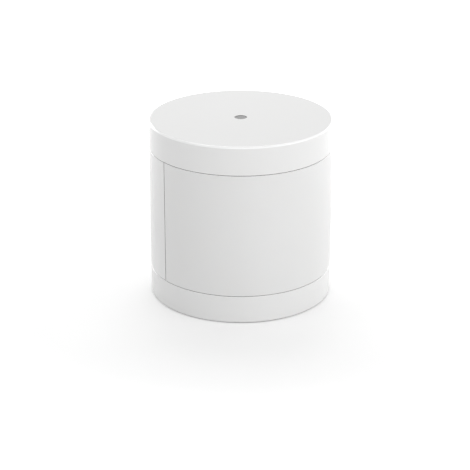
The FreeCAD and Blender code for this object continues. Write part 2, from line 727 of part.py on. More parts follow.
def wound_wire(place_at, stretch, steps, wire, lead=()):
    """A round wire along a wound route, built from smooth arcs between evenly spaced places."""
    def heading_at(share):
        nudge = 1e-4
        return (place_at(share + nudge) - place_at(share - nudge)).normalize()

    edges = list(lead)
    for step in range(steps):
        begin = stretch * step / steps
        finish = stretch * (step + 1) / steps
        edges += two_arcs(place_at(begin), heading_at(begin), place_at(finish), heading_at(finish))
    spine = Part.Wire(Part.__sortEdges__(edges))
    start = spine.OrderedVertexes[0].Point
    heading = spine.OrderedEdges[0].tangentAt(spine.OrderedEdges[0].FirstParameter)
    section = Part.Wire([Part.Circle(start, heading, wire / 2).toShape()])
    return spine.makePipeShell([section], True, False)


def place_feature(name, shape):
    thing = doc.addObject("Part::Feature", name)
    thing.Shape = shape
    thing.Placement = Placement()
    finished(thing, name)


def make_battery_spring():
    """The conical spring under the cell, from a wide turn on the contact to a narrow one."""
    wire = size.spring_wire.number
    turns = size.spring_turns.number
    foot_radius = size.spring_foot_diameter.number / 2
    top_radius = size.spring_top_diameter.number / 2
    low = spring_foot.number + wire / 2 + size.thread_gap.number
    high = battery_foot.number - wire / 2 - size.thread_gap.number

    def place_at(turn):
        share = turn / turns
        radius = foot_radius + (top_radius - foot_radius) * share
        angle = 2 * math.pi * turn
        height = low + (high - low) * share
        return Vector(radius * math.cos(angle), battery_y.number + radius * math.sin(angle), height)

    place_feature("battery_spring", wound_wire(place_at, turns, int(turns * 4), wire))


def make_antenna():
    """The radio's wire antenna, wound upright behind the board and soldered to it."""
    wire = size.antenna_wire.number
    turns = size.antenna_turns.number
    radius = size.antenna_diameter.number / 2
    centre_x = -(board_half - size.antenna_inset).number
    centre_y = (board_back + size.antenna_stand).number + wire / 2 + radius
    foot = (rail_top + size.part_gap).number + size.antenna_pitch.number

    def place_at(turn):
        angle = math.pi - 2 * math.pi * turn
        height = foot + size.antenna_pitch.number * turn
        return Vector(centre_x + radius * math.cos(angle), centre_y + radius * math.sin(angle), height)

    coil_start = place_at(0)
    heading = (place_at(1e-4) - place_at(-1e-4)).normalize()
    board_end = coil_start - heading * ((coil_start.y - board_back.number) / heading.y)
    lead = [Part.LineSegment(board_end, coil_start).toShape()]
    shape = wound_wire(place_at, turns, int(turns * 4), wire, lead)
    corner = Vector(-case_radius.number, board_back.number, 0)
    behind_board = Part.makeBox(case_radius.number * 2, case_radius.number, case_height.number, corner)
    place_feature("antenna_coil", shape.common(behind_board))


def make_infrared_sensor():
    """The sensor's header with its chip and leads, its can, its filter and the rubber guard."""
    header_face = board_front - size.sensor_header_height
    can_face = board_front - size.sensor_can_height
    can_radius = size.sensor_can_diameter / 2
    flange_radius = can_radius + size.sensor_flange_lip
    header = rod(
        (0, board_front, window_middle), flange_radius, size.sensor_header_height, facing_front=True)
    chip = block(
        middle(0, size.sensor_chip_width), (header_face - size.sensor_chip_height, header_face),
        middle(window_middle, size.sensor_chip_width))
    lead_radius = size.sensor_lead_diameter / 2
    leads = [
        rod((across, board_back, up), lead_radius, size.board_thickness, facing_front=True)
        for across, up in lead_places()]
    finished(fused(header, chip, *leads), "sensor_header")
    flange = rod((0, header_face, window_middle), flange_radius, size.sensor_can_wall, facing_front=True)
    drum = rod((0, header_face, window_middle), can_radius, header_face - can_face, facing_front=True)
    inside = rod(
        (0, header_face, window_middle), can_radius - size.sensor_can_wall,
        header_face - can_face - size.sensor_can_wall, facing_front=True)
    fit = size.lead_hole_gap * 2
    face_inside = can_face + size.sensor_can_wall
    opening = block(
        middle(0, size.sensor_filter_width + fit), (can_face, face_inside),
        middle(window_middle, size.sensor_filter_height + fit))
    finished(cut_away(fused(flange, drum), fused(inside, opening)), "sensor_can")
    pane = block(
        middle(0, size.sensor_filter_width), (can_face, face_inside),
        middle(window_middle, size.sensor_filter_height))
    rim = block(
        middle(0, size.sensor_filter_width + 2 * size.sensor_filter_rim),
        (face_inside, face_inside + size.sensor_filter_rim),
        middle(window_middle, size.sensor_filter_height + 2 * size.sensor_filter_rim))
    finished(fused(pane, rim), "sensor_filter")
    guard = rod((0, board_front, window_middle), guard_radius, size.guard_height, facing_front=True)
    bore = rod(
        (0, board_front, window_middle), flange_radius + size.guard_fit, size.guard_height,
        facing_front=True)
    finished(cut_away(guard, bore), "insect_guard")


def make_board_parts():
    """What is soldered to the front of the board."""
    on_board = (board_front - size.small_part_depth, board_front)
    finished(block(
        middle(0, size.led_width), (-size.led_reach, board_front),
        (led_top - size.led_height, led_top)), "status_led")
    shield_x = (size.part_gap - rail_inner, -(guard_radius + size.part_gap))
    shield_foot = board_screw_level + size.screw_head_diameter / 2 + size.part_gap
    shield_z = (shield_foot, shield_foot + size.shield_height)
    sheet_metal = size.shield_sheet
    shield = block(shield_x, (board_front - size.shield_depth, board_front), shield_z)
    hollow = block(
        (shield_x[0] + sheet_metal, shield_x[1] - sheet_metal),
        (board_front - size.shield_depth + sheet_metal, board_front),
        (shield_z[0] + sheet_metal, shield_z[1] - sheet_metal))
    finished(cut_away(shield, hollow), "radio_shield")
    chip_foot = window_middle + guard_radius + size.part_gap
    finished(block(
        middle(0, size.chip_side), (board_front - size.chip_depth, board_front),
        (chip_foot, chip_foot + size.chip_side)), "microcontroller")
    beside_chip = size.chip_side / 2 + size.part_gap
    finished(block(
        (beside_chip, beside_chip + size.crystal_width), (board_front - size.crystal_depth, board_front),
        (chip_foot, chip_foot + size.crystal_height)), "crystal")
    capacitors = []
    for index in range(int(size.capacitor_count.number)):
        foot = chip_foot + index * size.small_part_pitch
        capacitors.append(block(
            (-(beside_chip + size.small_part_length), -beside_chip), on_board,
            (foot, foot + size.small_part_width)))
    finished(grouped(capacitors), "capacitors")
    beside_guard = guard_radius + size.part_gap
    resistors = []
    for index in range(int(size.resistor_count.number)):
        foot = shield_foot + index * size.small_part_pitch
        resistors.append(block(
            (beside_guard, beside_guard + size.small_part_length), on_board,
            (foot, foot + size.small_part_width)))
    finished(grouped(resistors), "resistors")
    reservoir_radius = size.reservoir_diameter / 2
    reservoir_x = beside_guard + reservoir_radius
    reservoir_level = window_middle + size.part_gap + reservoir_radius
    finished(rod(
        (reservoir_x, board_front, reservoir_level), reservoir_radius, size.reservoir_height,
        facing_front=True), "reservoir_capacitor")
    thermistor_x = -(beside_guard + size.thermistor_diameter / 2)
    finished(rod(
        (thermistor_x, board_front, window_middle + guard_radius), size.thermistor_diameter / 2,
        size.thermistor_height, facing_front=True), "thermistor")


def make_tamper_switch():
    """The switch behind the board's right edge and the plunger that the housing's cam holds in."""
    height = middle(tamper_level, size.tamper_height)
    length = (tamper_face - size.tamper_length, tamper_face)
    case = block(length, middle(tamper_y, size.tamper_depth), height)
    pin_y = middle(tamper_y, size.tamper_pin_width)
    pin_z = middle(tamper_level, size.tamper_pin_height)
    lip = size.tamper_collar_lip
    fit = size.tamper_fit
    inner_face = tamper_face - size.tamper_wall
    collar_front = inner_face - size.tamper_travel - fit
    collar = (collar_front - size.tamper_collar, collar_front)
    slot = block((inner_face, tamper_face), widened(pin_y, fit), widened(pin_z, fit))
    chamber = block(
        (collar[0] - size.tamper_collar, inner_face), widened(pin_y, lip + fit), widened(pin_z, lip + fit))
    finished(cut_away(case, fused(slot, chamber)), "tamper_switch")
    pin = block((collar[0], tamper_tip), pin_y, pin_z)
    finished(fused(pin, block(collar, widened(pin_y, lip), widened(pin_z, lip))), "tamper_plunger")


def widened(span, by):
    low, high = span
    return (low - by, high + by)


def make_pairing_button():
    """The switch below the sensor and its button, which is pressed towards the board."""
    fit = size.button_fit
    across = middle(0, size.button_switch_side)
    switch_face = board_front - size.button_switch_depth
    inner_face = switch_face + size.button_switch_wall
    case = block(across, (switch_face, board_front), middle(button_level, size.button_switch_side))
    button_radius = size.button_diameter / 2
    collar_radius_here = button_radius + size.button_collar_lip
    chamber_depth = fit + size.button_collar + size.button_travel + fit
    chamber = rod(
        (0, inner_face + chamber_depth, button_level), collar_radius_here + fit, chamber_depth,
        facing_front=True)
    hole = rod(
        (0, inner_face, button_level), button_radius + fit, size.button_switch_wall, facing_front=True)
    finished(cut_away(case, fused(chamber, hole)), "pairing_switch")
    collar_back = inner_face + fit + size.button_collar
    tip = switch_face - size.button_reach
    stem = rod((0, collar_back, button_level), button_radius, collar_back - tip, facing_front=True)
    collar = rod((0, collar_back, button_level), collar_radius_here, size.button_collar, facing_front=True)
    finished(fused(stem, collar), "pairing_button")


def make_rear_housing():
    """The sleeve's frame: the rear wall, and in front a recessed frame for the lens."""
    housing = new_body("rear_housing")
    edge = size.seam_edge_break
    rim = size.seam_rim_break
    ledge_bore = bore_radius - size.ledge_width
    ledge_foot = ledge_top - size.ledge_height
    groove_half = size.snap_groove_width / 2
    groove_depth = snap_groove_radius - bore_radius
    turned(housing, "housing_tube", [
        (bore_radius, sleeve_foot), (case_radius - edge, sleeve_foot), (case_radius, sleeve_foot + edge),
        (case_radius, sleeve_top - rim), (case_radius - rim, sleeve_top), (bore_radius, sleeve_top),
        (bore_radius, snap_level + groove_half + groove_depth),
        (snap_groove_radius, snap_level + groove_half),
        (snap_groove_radius, snap_level - groove_half),
        (bore_radius, snap_level - groove_half - groove_depth), (bore_radius, ledge_top),
        (ledge_bore, ledge_top), (ledge_bore, ledge_foot), (bore_radius, ledge_foot - size.ledge_width)])
    beyond = size.sleeve_wall / 2
    turned(
        housing, "lens_recess",
        ring(lens_seat, case_radius + beyond, sleeve_foot - beyond, sleeve_top + beyond),
        sweep=180, azimuth=FRONT, cut=True)
    turned(
        housing, "window", ring(ledge_bore - beyond, lens_seat + beyond, window_foot, window_top),
        sweep=size.window_sweep, azimuth=FRONT, cut=True)
    notch_height = size.lens_tab_height + 2 * size.lens_fit
    notch_sweep = size.lens_tab_sweep + size.lens_tab_play
    sill_notch = (window_foot - notch_height, window_foot + beyond)
    head_notch = (window_top - beyond, window_top + notch_height)
    notch_inside = bore_radius - size.lens_fit
    for azimuth in LENS_TAB_AZIMUTHS:
        for place, (foot, top) in (("sill", sill_notch), ("head", head_notch)):
            turned(
                housing, f"notch_{place}_{azimuth}", ring(notch_inside, lens_seat + beyond, foot, top),
                sweep=notch_sweep, azimuth=azimuth, cut=True)
    in_wall = bore_radius + size.lens_thickness / 2
    lug = turned(
        housing, "bayonet_lug", ring(bore_radius - size.lug_depth, in_wall, lug_foot, lug_top),
        sweep=size.lug_sweep, azimuth=FIRST_LUG)
    around(housing, "bayonet_lugs", [lug], size.lug_count)
    add_tamper_cam(housing, in_wall)


def add_tamper_cam(housing, in_wall):
    """A rib whose inner face recedes as the sleeve turns, so that the plunger can follow it."""
    corner_y = tamper_y + size.tamper_pin_width / 2
    near_radius = root(tamper_tip * tamper_tip + corner_y * corner_y) + size.cam_gap
    near_azimuth = slope_angle(corner_y, tamper_tip)
    rise_per_degree = size.tamper_travel / size.turn_angle
    steps = 4
    sweep = size.turn_angle + size.cam_lead
    inner = [polar(near_radius, near_azimuth + size.cam_lead)]
    for step in range(steps + 1):
        back = sweep * (step / steps)
        inner.append(polar(near_radius + rise_per_degree * back, near_azimuth - back))
    outer = []
    for step in range(steps + 1):
        share = step / steps
        outer.append(polar(in_wall, near_azimuth - sweep + (sweep + size.cam_lead) * share))
    foot = tamper_level - size.cam_height / 2
    sketch = outline(housing, "tamper_cam", inner + outer, plane="XY_Plane", level=foot)
    cam = housing.newObject("PartDesign::Pad", "tamper_cam")
    cam.Profile = sketch
    bind(cam, "Length", size.cam_height)


def make_fresnel_lens():
    """The front half of the sleeve: a thin lens with fine facet lines inside and four tabs."""
    lens = new_body("fresnel_lens")
    edge = size.seam_edge_break
    rim = size.seam_rim_break
    seam_degrees = slope_angle(size.lens_seam, case_radius)
    turned(lens, "lens_shell", [
        (lens_inner, sleeve_foot), (case_radius - edge, sleeve_foot), (case_radius, sleeve_foot + edge),
        (case_radius, sleeve_top - rim), (case_radius - rim, sleeve_top), (lens_inner, sleeve_top)],
        sweep=180 - 2 * seam_degrees, azimuth=FRONT)
    root_radius = lens_inner + size.lens_thickness / 4
    tabs = (window_foot - size.lens_fit - size.lens_tab_height, window_top + size.lens_fit)
    for azimuth in LENS_TAB_AZIMUTHS:
        for place, foot in zip(("sill", "head"), tabs):
            turned(
                lens, f"tab_{place}_{azimuth}",
                ring(lens_tab_tip, root_radius, foot, foot + size.lens_tab_height),
                sweep=size.lens_tab_sweep, azimuth=azimuth)
    groove_bed = lens_inner + size.lens_groove_depth
    groove_start = lens_inner - size.lens_groove_depth
    line_sweep = slope_angle(size.lens_groove_width, lens_inner)
    columns = int(size.lens_columns.number)
    for column in range(1, columns):
        azimuth = FRONT + size.window_sweep * (column / columns - 0.5)
        turned(
            lens, f"facet_line_{column}", ring(groove_start, groove_bed, window_foot, window_top),
            sweep=line_sweep, azimuth=azimuth, cut=True)
    rows = int(size.lens_rows.number)
    for row in range(1, rows):
        level = window_foot + (window_top - window_foot) * (row / rows)
        low, high = middle(level, size.lens_groove_width)
        turned(
            lens, f"facet_row_{row}", ring(groove_start, groove_bed, low, high),
            sweep=size.window_sweep, azimuth=FRONT, cut=True)


def make_top_cap():
    """The lid: a flat disc with a short side, and a spigot that snaps into the housing."""
    cap = new_body("top_cap")
    edge = size.seam_edge_break
    bead_half = size.snap_bead_width / 2
    slope_foot = cap_foot + size.spigot_web
    disc = turned(cap, "cap_shell", [
        (pipe_bore, case_height), (case_radius, case_height), (case_radius, cap_foot + edge),
        (case_radius - edge, cap_foot), (spigot_radius, cap_foot),
        (spigot_radius, snap_level + bead_half), (spigot_radius + size.snap_bead, snap_level),
        (spigot_radius, snap_level - bead_half), (spigot_radius, ledge_top), (spigot_bore, ledge_top),
        (spigot_bore, slope_foot), (cap_bore, slope_foot + cap_bore - spigot_bore),
        (cap_bore, cap_underside), (pipe_boss_radius, cap_underside),
        (pipe_boss_radius, pipe_boss_foot), (pipe_bore, pipe_boss_foot)])
    rounded_rim(cap, "top_rounding", disc, case_radius, case_height, size.top_edge_round)
    rib = body_block(
        cap, "cap_rib", (pipe_boss_radius + size.cap_rib_inset, cap_bore - size.cap_rib_inset),
        middle(0, size.cap_rib_width), (cap_underside - size.cap_rib_depth, cap_underside))
    around(cap, "cap_ribs", [rib], size.cap_rib_count)


def make_light_pipe():
    """The clear rod that takes the lamp's light to the middle of the cap."""
    pipe = new_body("light_pipe")
    top = case_height - size.pipe_recess
    foot = led_top + size.pipe_led_gap
    collar_radius_here = pipe_boss_radius - size.pipe_fit
    collar_foot = pipe_boss_foot - size.pipe_collar_height
    turned(pipe, "light_rod", [
        (0, top), (pipe_radius, top), (pipe_radius, pipe_boss_foot), (collar_radius_here, pipe_boss_foot),
        (collar_radius_here, collar_foot), (pipe_radius, collar_foot),
        (pipe_radius - size.pipe_taper, foot), (0, foot)])


make_base_cup()
make_mounting_plate()
make_chassis()
make_screws()
make_main_board()
make_battery_holder()
make_battery()
make_battery_spring()
make_infrared_sensor()
make_board_parts()
make_antenna()
make_tamper_switch()
make_pairing_button()
make_rear_housing()
make_fresnel_lens()
make_top_cap()
make_light_pipe()
doc.recompute()

faults = [thing.Label for thing in doc.Objects if {"Invalid", "Error"} & set(thing.State)]
faults += [piece.Label for piece in pieces if piece.Shape.isNull() or not piece.Shape.isValid()]
if faults:
    raise SystemExit(f"these came out wrong: {faults}")

os.makedirs("parts", exist_ok=True)
for piece in pieces:
    piece.Shape.exportStep(os.path.join("parts", f"{piece.Label}.step"))
    print(f"{piece.Label}: {len(piece.Shape.Solids)} solids, {piece.Shape.Volume:.2f} mm3")
print(f"case {2 * case_radius.number:.2f} mm across and {case_height.number:.2f} mm high")
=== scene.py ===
import math

import bmesh
import bpy
from mathutils import Matrix, Vector


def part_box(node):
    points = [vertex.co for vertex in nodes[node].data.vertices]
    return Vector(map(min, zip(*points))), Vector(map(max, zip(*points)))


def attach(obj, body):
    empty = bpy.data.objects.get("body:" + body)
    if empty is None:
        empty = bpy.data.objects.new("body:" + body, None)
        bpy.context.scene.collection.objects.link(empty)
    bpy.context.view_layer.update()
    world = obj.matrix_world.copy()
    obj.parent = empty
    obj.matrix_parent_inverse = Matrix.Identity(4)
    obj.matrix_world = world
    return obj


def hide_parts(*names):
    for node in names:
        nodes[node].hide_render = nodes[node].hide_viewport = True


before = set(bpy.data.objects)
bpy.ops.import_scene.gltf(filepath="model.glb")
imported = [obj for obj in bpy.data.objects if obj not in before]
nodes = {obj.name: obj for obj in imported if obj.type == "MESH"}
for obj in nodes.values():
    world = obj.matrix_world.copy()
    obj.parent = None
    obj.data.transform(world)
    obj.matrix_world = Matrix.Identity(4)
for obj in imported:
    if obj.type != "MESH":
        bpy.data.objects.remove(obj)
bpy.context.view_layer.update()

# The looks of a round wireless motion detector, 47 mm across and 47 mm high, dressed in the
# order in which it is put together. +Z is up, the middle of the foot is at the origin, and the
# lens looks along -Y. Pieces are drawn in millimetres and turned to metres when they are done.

MM = 0.001

# Base cup: the lower band of the case, injection moulded in white ABS. The chassis is screwed
# down on its three bosses, and the steel plate lies in the pocket under its floor.

case_white = "#ECECEC"
case_warm = "#E9E9E8"
painted_highlight_white = "#FEFEFE"
painted_seam_shade = "#6E6D6B"


def linear(hex_colour):
    """The linear colour that a socket takes, from an sRGB hex value."""
    channels = [int(hex_colour[place:place + 2], 16) / 255 for place in (1, 3, 5)]
    return (*(c / 12.92 if c <= 0.04045 else ((c + 0.055) / 1.055) ** 2.4 for c in channels), 1)


def add_node(tree, kind, sockets=None, into=None, **settings):
    """Add a node with its settings, what its sockets take, and the socket that it goes into. A
    socket takes a value, a hex colour, or a link from another node or one of its outputs."""
    node = tree.nodes.new("ShaderNode" + kind)
    for name, value in settings.items():
        setattr(node, name, value)
    for key, value in (sockets or {}).items():
        in_use = [socket for socket in node.inputs if socket.enabled]
        socket = node.inputs[key] if isinstance(key, int) else next(s for s in in_use if s.name == key)
        if isinstance(value, bpy.types.Node):
            value = next(end for end in value.outputs if end.enabled)
        if isinstance(value, bpy.types.NodeSocket):
            tree.links.new(value, socket)
        else:
            socket.default_value = linear(value) if isinstance(value, str) else value
    if into:
        tree.links.new(next(end for end in node.outputs if end.enabled), into)
    return node


def new_finish(name, **shader_values):
    """A material with one surface shader, and the object's own coordinates to lay patterns by."""
    material = bpy.data.materials.new(name)
    material.use_nodes = True
    tree = material.node_tree
    tree.nodes.clear()
    values = {socket.replace("_", " "): value for socket, value in shader_values.items()}
    shader = add_node(tree, "BsdfPrincipled", values)
    add_node(tree, "OutputMaterial", {"Surface": shader})
    place = add_node(tree, "TexCoord").outputs["Object"]
    return material, tree, shader, place


def moulded(
        name, tones, grain, depth, rough, patch=22, detail=2, edge=None, polish=0, gap_shade=None, **shader_values):
    """The finish of a piece that set in a mould or a kiln: a fine grain, broad soft changes in
    gloss where it cooled unevenly, and patches of two tones. Faces that look half up may get a
    painted highlight in a whiter colour and a clear coat, and narrow gaps a painted shade in a darker
    colour and a matt gloss. Grain, depth and patch are in millimetres."""
    material, tree, shader, place = new_finish(name, **shader_values)
    flow = add_node(tree, "TexNoise", {"Vector": place, "Scale": 1 / (22 * MM)})
    gloss = {"Value": flow, "To Min": rough[0], "To Max": rough[1]}
    gloss = add_node(tree, "MapRange", gloss, shader.inputs["Roughness"])
    skin = add_node(tree, "TexNoise", {"Vector": place, "Scale": 1 / (grain * MM), "Detail": 3})
    add_node(tree, "Bump", {"Height": skin, "Strength": 1, "Distance": depth * MM}, shader.inputs["Normal"])
    patches = add_node(tree, "TexNoise", {"Vector": place, "Scale": 1 / (patch * MM), "Detail": detail})
    two_tones = {"Factor": patches, "A": tones[0], "B": tones[1]}
    tone = add_node(tree, "Mix", two_tones, shader.inputs["Base Color"], data_type="RGBA")
    # A painted highlight: faces whose normal looks half up are mixed towards a whiter colour, and may get a clear coat.
    if edge:
        facing = add_node(tree, "TexCoord").outputs["Normal"]
        up = add_node(tree, "SeparateXYZ", {0: facing}).outputs["Z"]
        slope = add_node(tree, "Math", {0: up, 1: -6, 2: 6}, operation="MULTIPLY_ADD")
        share = add_node(tree, "Math", {0: up, 1: slope}, operation="MULTIPLY", use_clamp=True)
        with_painted_highlight = {"Factor": share, "A": tone, "B": edge}
        tone = add_node(tree, "Mix", with_painted_highlight, shader.inputs["Base Color"], data_type="RGBA")
        if polish:
            add_node(tree, "Math", {0: share, 1: polish}, shader.inputs["Coat Weight"], operation="MULTIPLY")
    # A painted shade: where ambient occlusion finds a narrow gap, the colour is mixed towards a darker tone and the
    # gloss goes matt.
    if gap_shade:
        sky = add_node(tree, "AmbientOcclusion", {"Distance": 0.3 * MM}).outputs["AO"]
        unshaded = add_node(tree, "MapRange", {"Value": sky, "From Min": 0.55, "From Max": 0.75})
        add_node(tree, "Mix", {"Factor": unshaded, "A": 0.8, "B": gloss}, shader.inputs["Roughness"])
        with_gap_shade = {"Factor": unshaded, "A": gap_shade, "B": tone}
        add_node(tree, "Mix", with_gap_shade, shader.inputs["Base Color"], data_type="RGBA")
    return material


def dress(material, *names):
    """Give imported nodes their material."""
    for name in names:
        nodes[name].data.materials.clear()
        nodes[name].data.materials.append(material)


# Injection-moulded ABS from an eroded, lightly polished mould: an even satin white that goes
# glossy at a glance. Its grain of 0.1 mm is drawn at 0.45 mm, or it wouldn't show.
# Faces that look half up get a painted highlight, and narrow gaps get a painted shade that is also matt.
white_abs = moulded(
    "moulded_white_abs", (case_white, case_warm), grain=0.45, depth=0.0022, rough=(0.19, 0.26),
    edge=painted_highlight_white, gap_shade=painted_seam_shade, IOR=1.53)
dress(white_abs, "base_cup")

# Mounting plate: a disc punched from zinc-plated steel sheet and pressed into the foot, where
# a magnetic bracket holds the detector. The punch leaves a rolled edge.

plate_zinc = "#B4B8BC"
plate_shade = "#989CA0"
plate_edge = 0.15


def sides(node):
    """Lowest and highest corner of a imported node, in millimetres."""
    low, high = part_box(node)
    return low / MM, high / MM


def eased(corners, bends=5):
    """An outline from (across, up, rounding) corners, whose roundings become arcs."""
    points = []
    for index, (across, up, rounding) in enumerate(corners):
        corner = Vector((across, up))
        if not rounding:
            points.append(corner)
            continue
        before = (Vector(corners[index - 1][:2]) - corner).normalized()
        after = (Vector(corners[(index + 1) % len(corners)][:2]) - corner).normalized()
        half = before.angle(after) / 2
        middle = corner + (before + after).normalized() * (rounding / math.sin(half))
        spoke = corner + before * (rounding / math.tan(half)) - middle
        turn = math.copysign(math.pi - 2 * half, before.x * after.y - before.y * after.x)
        points += [middle + Matrix.Rotation(-turn * step / bends, 2) @ spoke for step in range(bends + 1)]
    return points


def add_turned(shape, outline, place=(0, 0, 0), facing_front=False, steps=96, finish=0):
    """Turn an outline of (radius, height) points round an axis that goes up, or to the front."""
    lie = Matrix.Rotation(math.pi / 2, 3, "X") if facing_front else Matrix.Identity(3)
    rows = []
    for step in range(steps):
        angle = math.tau * step / steps
        spots = [Vector((r * math.cos(angle), r * math.sin(angle), up)) for r, up in outline]
        rows.append([shape.verts.new(lie @ spot + Vector(place)) for spot in spots])
    on_axis = outline[0][0] == 0 and outline[-1][0] == 0
    count = len(outline) - 1 if on_axis else len(outline)
    for row, following in zip(rows, rows[1:] + rows[:1]):
        for index in range(count):
            other = (index + 1) % len(outline)
            face = shape.faces.new((row[index], following[index], following[other], row[other]))
            face.material_index = finish
    bmesh.ops.remove_doubles(shape, verts=[spot for row in rows for spot in row], dist=1e-5)


def add_block(shape, low, high, ease=0, finish=0, bends=2):
    """A block between two corners, with its edges eased by a radius."""
    size = [end - start for start, end in zip(low, high)]
    middle = [(start + end) / 2 for start, end in zip(low, high)]
    lie = Matrix.Translation(middle) @ Matrix.Diagonal((*size, 1))
    corners = bmesh.ops.create_cube(shape, size=1, matrix=lie)["verts"]
    faces = {face for corner in corners for face in corner.link_faces}
    if ease:
        edges = list({edge for corner in corners for edge in corner.link_edges})
        made = bmesh.ops.bevel(shape, geom=edges, offset=ease, segments=bends, affect="EDGES", profile=0.5)
        faces = {face for spot in made["verts"] for face in spot.link_faces}
    for face in faces:
        face.material_index = finish


def finished(shape, name, materials, replaced, body="base_module", crease=35):
    """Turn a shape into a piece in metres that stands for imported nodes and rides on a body."""
    bmesh.ops.recalc_face_normals(shape, faces=shape.faces)
    mesh = bpy.data.meshes.new(name)
    shape.to_mesh(mesh)
    shape.free()
    mesh.transform(Matrix.Scale(MM, 4))
    for material in materials:
        mesh.materials.append(material)
    mesh.polygons.foreach_set("use_smooth", [True] * len(mesh.polygons))
    mesh.set_sharp_from_angle(angle=math.radians(crease))
    piece = bpy.data.objects.new(name, mesh)
    bpy.context.scene.collection.objects.link(piece)
    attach(piece, body)
    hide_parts(*replaced)
    return piece


def worked_metal(name, tones, line, stretch, rough, patch=None, detail=2, **shader_values):
    """The finish of rolled, drawn or plated metal: fine lines of a width in millimetres, which
    run where the stretch is large, and clouds of two tones. With no patch the tones follow the
    lines."""
    material, tree, shader, place = new_finish(name, Metallic=1, **shader_values)
    lie = add_node(tree, "Mapping", {"Vector": place, "Scale": [1 / part for part in stretch]})
    lines = add_node(tree, "TexNoise", {"Vector": lie, "Scale": 1 / (line * MM), "Detail": 4})
    add_node(tree, "MapRange", {"Value": lines, "To Min": rough[0], "To Max": rough[1]}, shader.inputs["Roughness"])
    add_node(tree, "Bump", {"Height": lines, "Strength": 1, "Distance": 0.0008 * MM}, shader.inputs["Normal"])
    clouds = lines
    if patch:
        clouds = add_node(tree, "TexNoise", {"Vector": place, "Scale": 1 / (patch * MM), "Detail": detail})
    two_tones = {"Factor": clouds, "A": tones[0], "B": tones[1]}
    add_node(tree, "Mix", two_tones, shader.inputs["Base Color"], data_type="RGBA")
    return material


plate_low, plate_high = sides("mounting_plate")
shape = bmesh.new()
add_turned(shape, eased([
    (0, plate_low.z, 0), (plate_high.x, plate_low.z, plate_edge),
    (plate_high.x, plate_high.z, plate_edge / 3), (0, plate_high.z, 0)]))
# Zinc on rolled steel: a cool grey, half dull, whose plating is cloudy from its bath. Its
# crystals of 0.05 mm are drawn as broad clouds.
rolled_zinc = worked_metal(
    "rolled_zinc_steel", (plate_zinc, plate_shade), line=0.25, stretch=(1, 12, 1), rough=(0.28, 0.42), patch=3.5)
finished(shape, "steel_plate", [rolled_zinc], ["mounting_plate"])

# Chassis: the inner floor with the bayonet collar, rails and screw posts, moulded in one piece
# of natural ABS. It isn't seen in use, so its mould was left as machined.

chassis_tone = "#D9D8D3"
chassis_shade = "#CFCDC6"

# Uncoloured ABS from an unpolished mould: a creamy, duller white with a coarser skin.
natural_abs = moulded(
    "moulded_natural_abs", (chassis_tone, chassis_shade), grain=0.35, depth=0.004, rough=(0.40, 0.52), IOR=1.53)
dress(natural_abs, "chassis")

# Screws: pan-head thread-forming screws of zinc-plated steel with a cross recess. Three hold
# the chassis on the base cup's bosses, and two hold the circuit board on its posts.

screw_bright = "#C2C4C6"
screw_dark = "#8F9296"
head_radius = 1.8
head_height = 1.3
head_round = 0.6
thread_core = 0.76
thread_crest = 0.99
thread_pitch = 0.8
screw_point = 0.9
recess_arm = 0.6
recess_span = 2.2
recess_depth = 0.75


def as_mesh(shape):
    """A closed shape as a mesh whose faces look outwards."""
    bmesh.ops.recalc_face_normals(shape, faces=shape.faces)
    mesh = bpy.data.meshes.new("part")
    shape.to_mesh(mesh)
    shape.free()
    return mesh


def cut_from(shape, tool):
    """What is left of a closed shape once another is cut out of it."""
    solids = []
    for part in (shape, tool):
        solid = bpy.data.objects.new("part", as_mesh(part))
        bpy.context.scene.collection.objects.link(solid)
        solids.append(solid)
    cut = solids[0].modifiers.new("cut", "BOOLEAN")
    cut.object = solids[1]
    rest = bmesh.new()
    rest.from_object(solids[0], bpy.context.evaluated_depsgraph_get())
    for solid in solids:
        bpy.data.objects.remove(solid)
    return rest


def add_cross(shape, span, arm, low, high):
    """An upright bar whose section is a plus with a span and a width of its arms."""
    wide = span / 2
    narrow = arm / 2
    quarter = [(wide, -narrow), (wide, narrow), (narrow, narrow)]
    corners = []
    for turn in range(4):
        corners += [Matrix.Rotation(math.pi / 2 * turn, 2) @ Vector(corner) for corner in quarter]
    ends = [[shape.verts.new((x, y, up)) for x, y in corners] for up in (low, high)]
    for end in ends:
        shape.faces.new(end)
    for index in range(len(corners)):
        other = (index + 1) % len(corners)
        shape.faces.new((ends[0][index], ends[0][other], ends[1][other], ends[1][index]))


def add_thread(shape, low, high, steps=20):
    """The ridge that winds up a screw's shank and fades out at both ends."""
    turns = (high - low) / thread_pitch
    count = int(turns * steps)
    rows = []
    for step in range(count + 1):
        share = step / count
        crest = thread_core + (thread_crest - thread_core) * min(1, turns * 2 * min(share, 1 - share))
        angle = math.tau * turns * share
        up = low + (high - low) * share
        ridge = ((0.8 * thread_core, -0.3), (crest, -0.04), (crest, 0.04), (0.8 * thread_core, 0.3))
        rows.append([shape.verts.new((
            r * math.cos(angle), r * math.sin(angle), up + rise * thread_pitch)) for r, rise in ridge])
    for row, following in zip(rows, rows[1:]):
        for index in range(4):
            other = (index + 1) % 4
            shape.faces.new((row[index], following[index], following[other], row[other]))
    shape.faces.new(rows[0])
    shape.faces.new(rows[-1])


def make_screw(length):
    """One screw whose head stands on its place and whose point is below."""
    head = bmesh.new()
    add_turned(head, eased([
        (0, 0, 0), (head_radius, 0, 0.1), (head_radius, head_height, head_round), (0, head_height, 0)]), steps=48)
    recess = bmesh.new()
    add_cross(recess, recess_span, recess_arm, head_height - recess_depth, head_height + 1)
    shape = cut_from(head, recess)
    add_turned(shape, [
        (0, -length), (thread_core * 0.35, -length), (thread_core, screw_point - length), (thread_core, 0.1), (0, 0.1)],
        steps=32)
    add_thread(shape, 0.4 - length, -0.1)
    return as_mesh(shape)


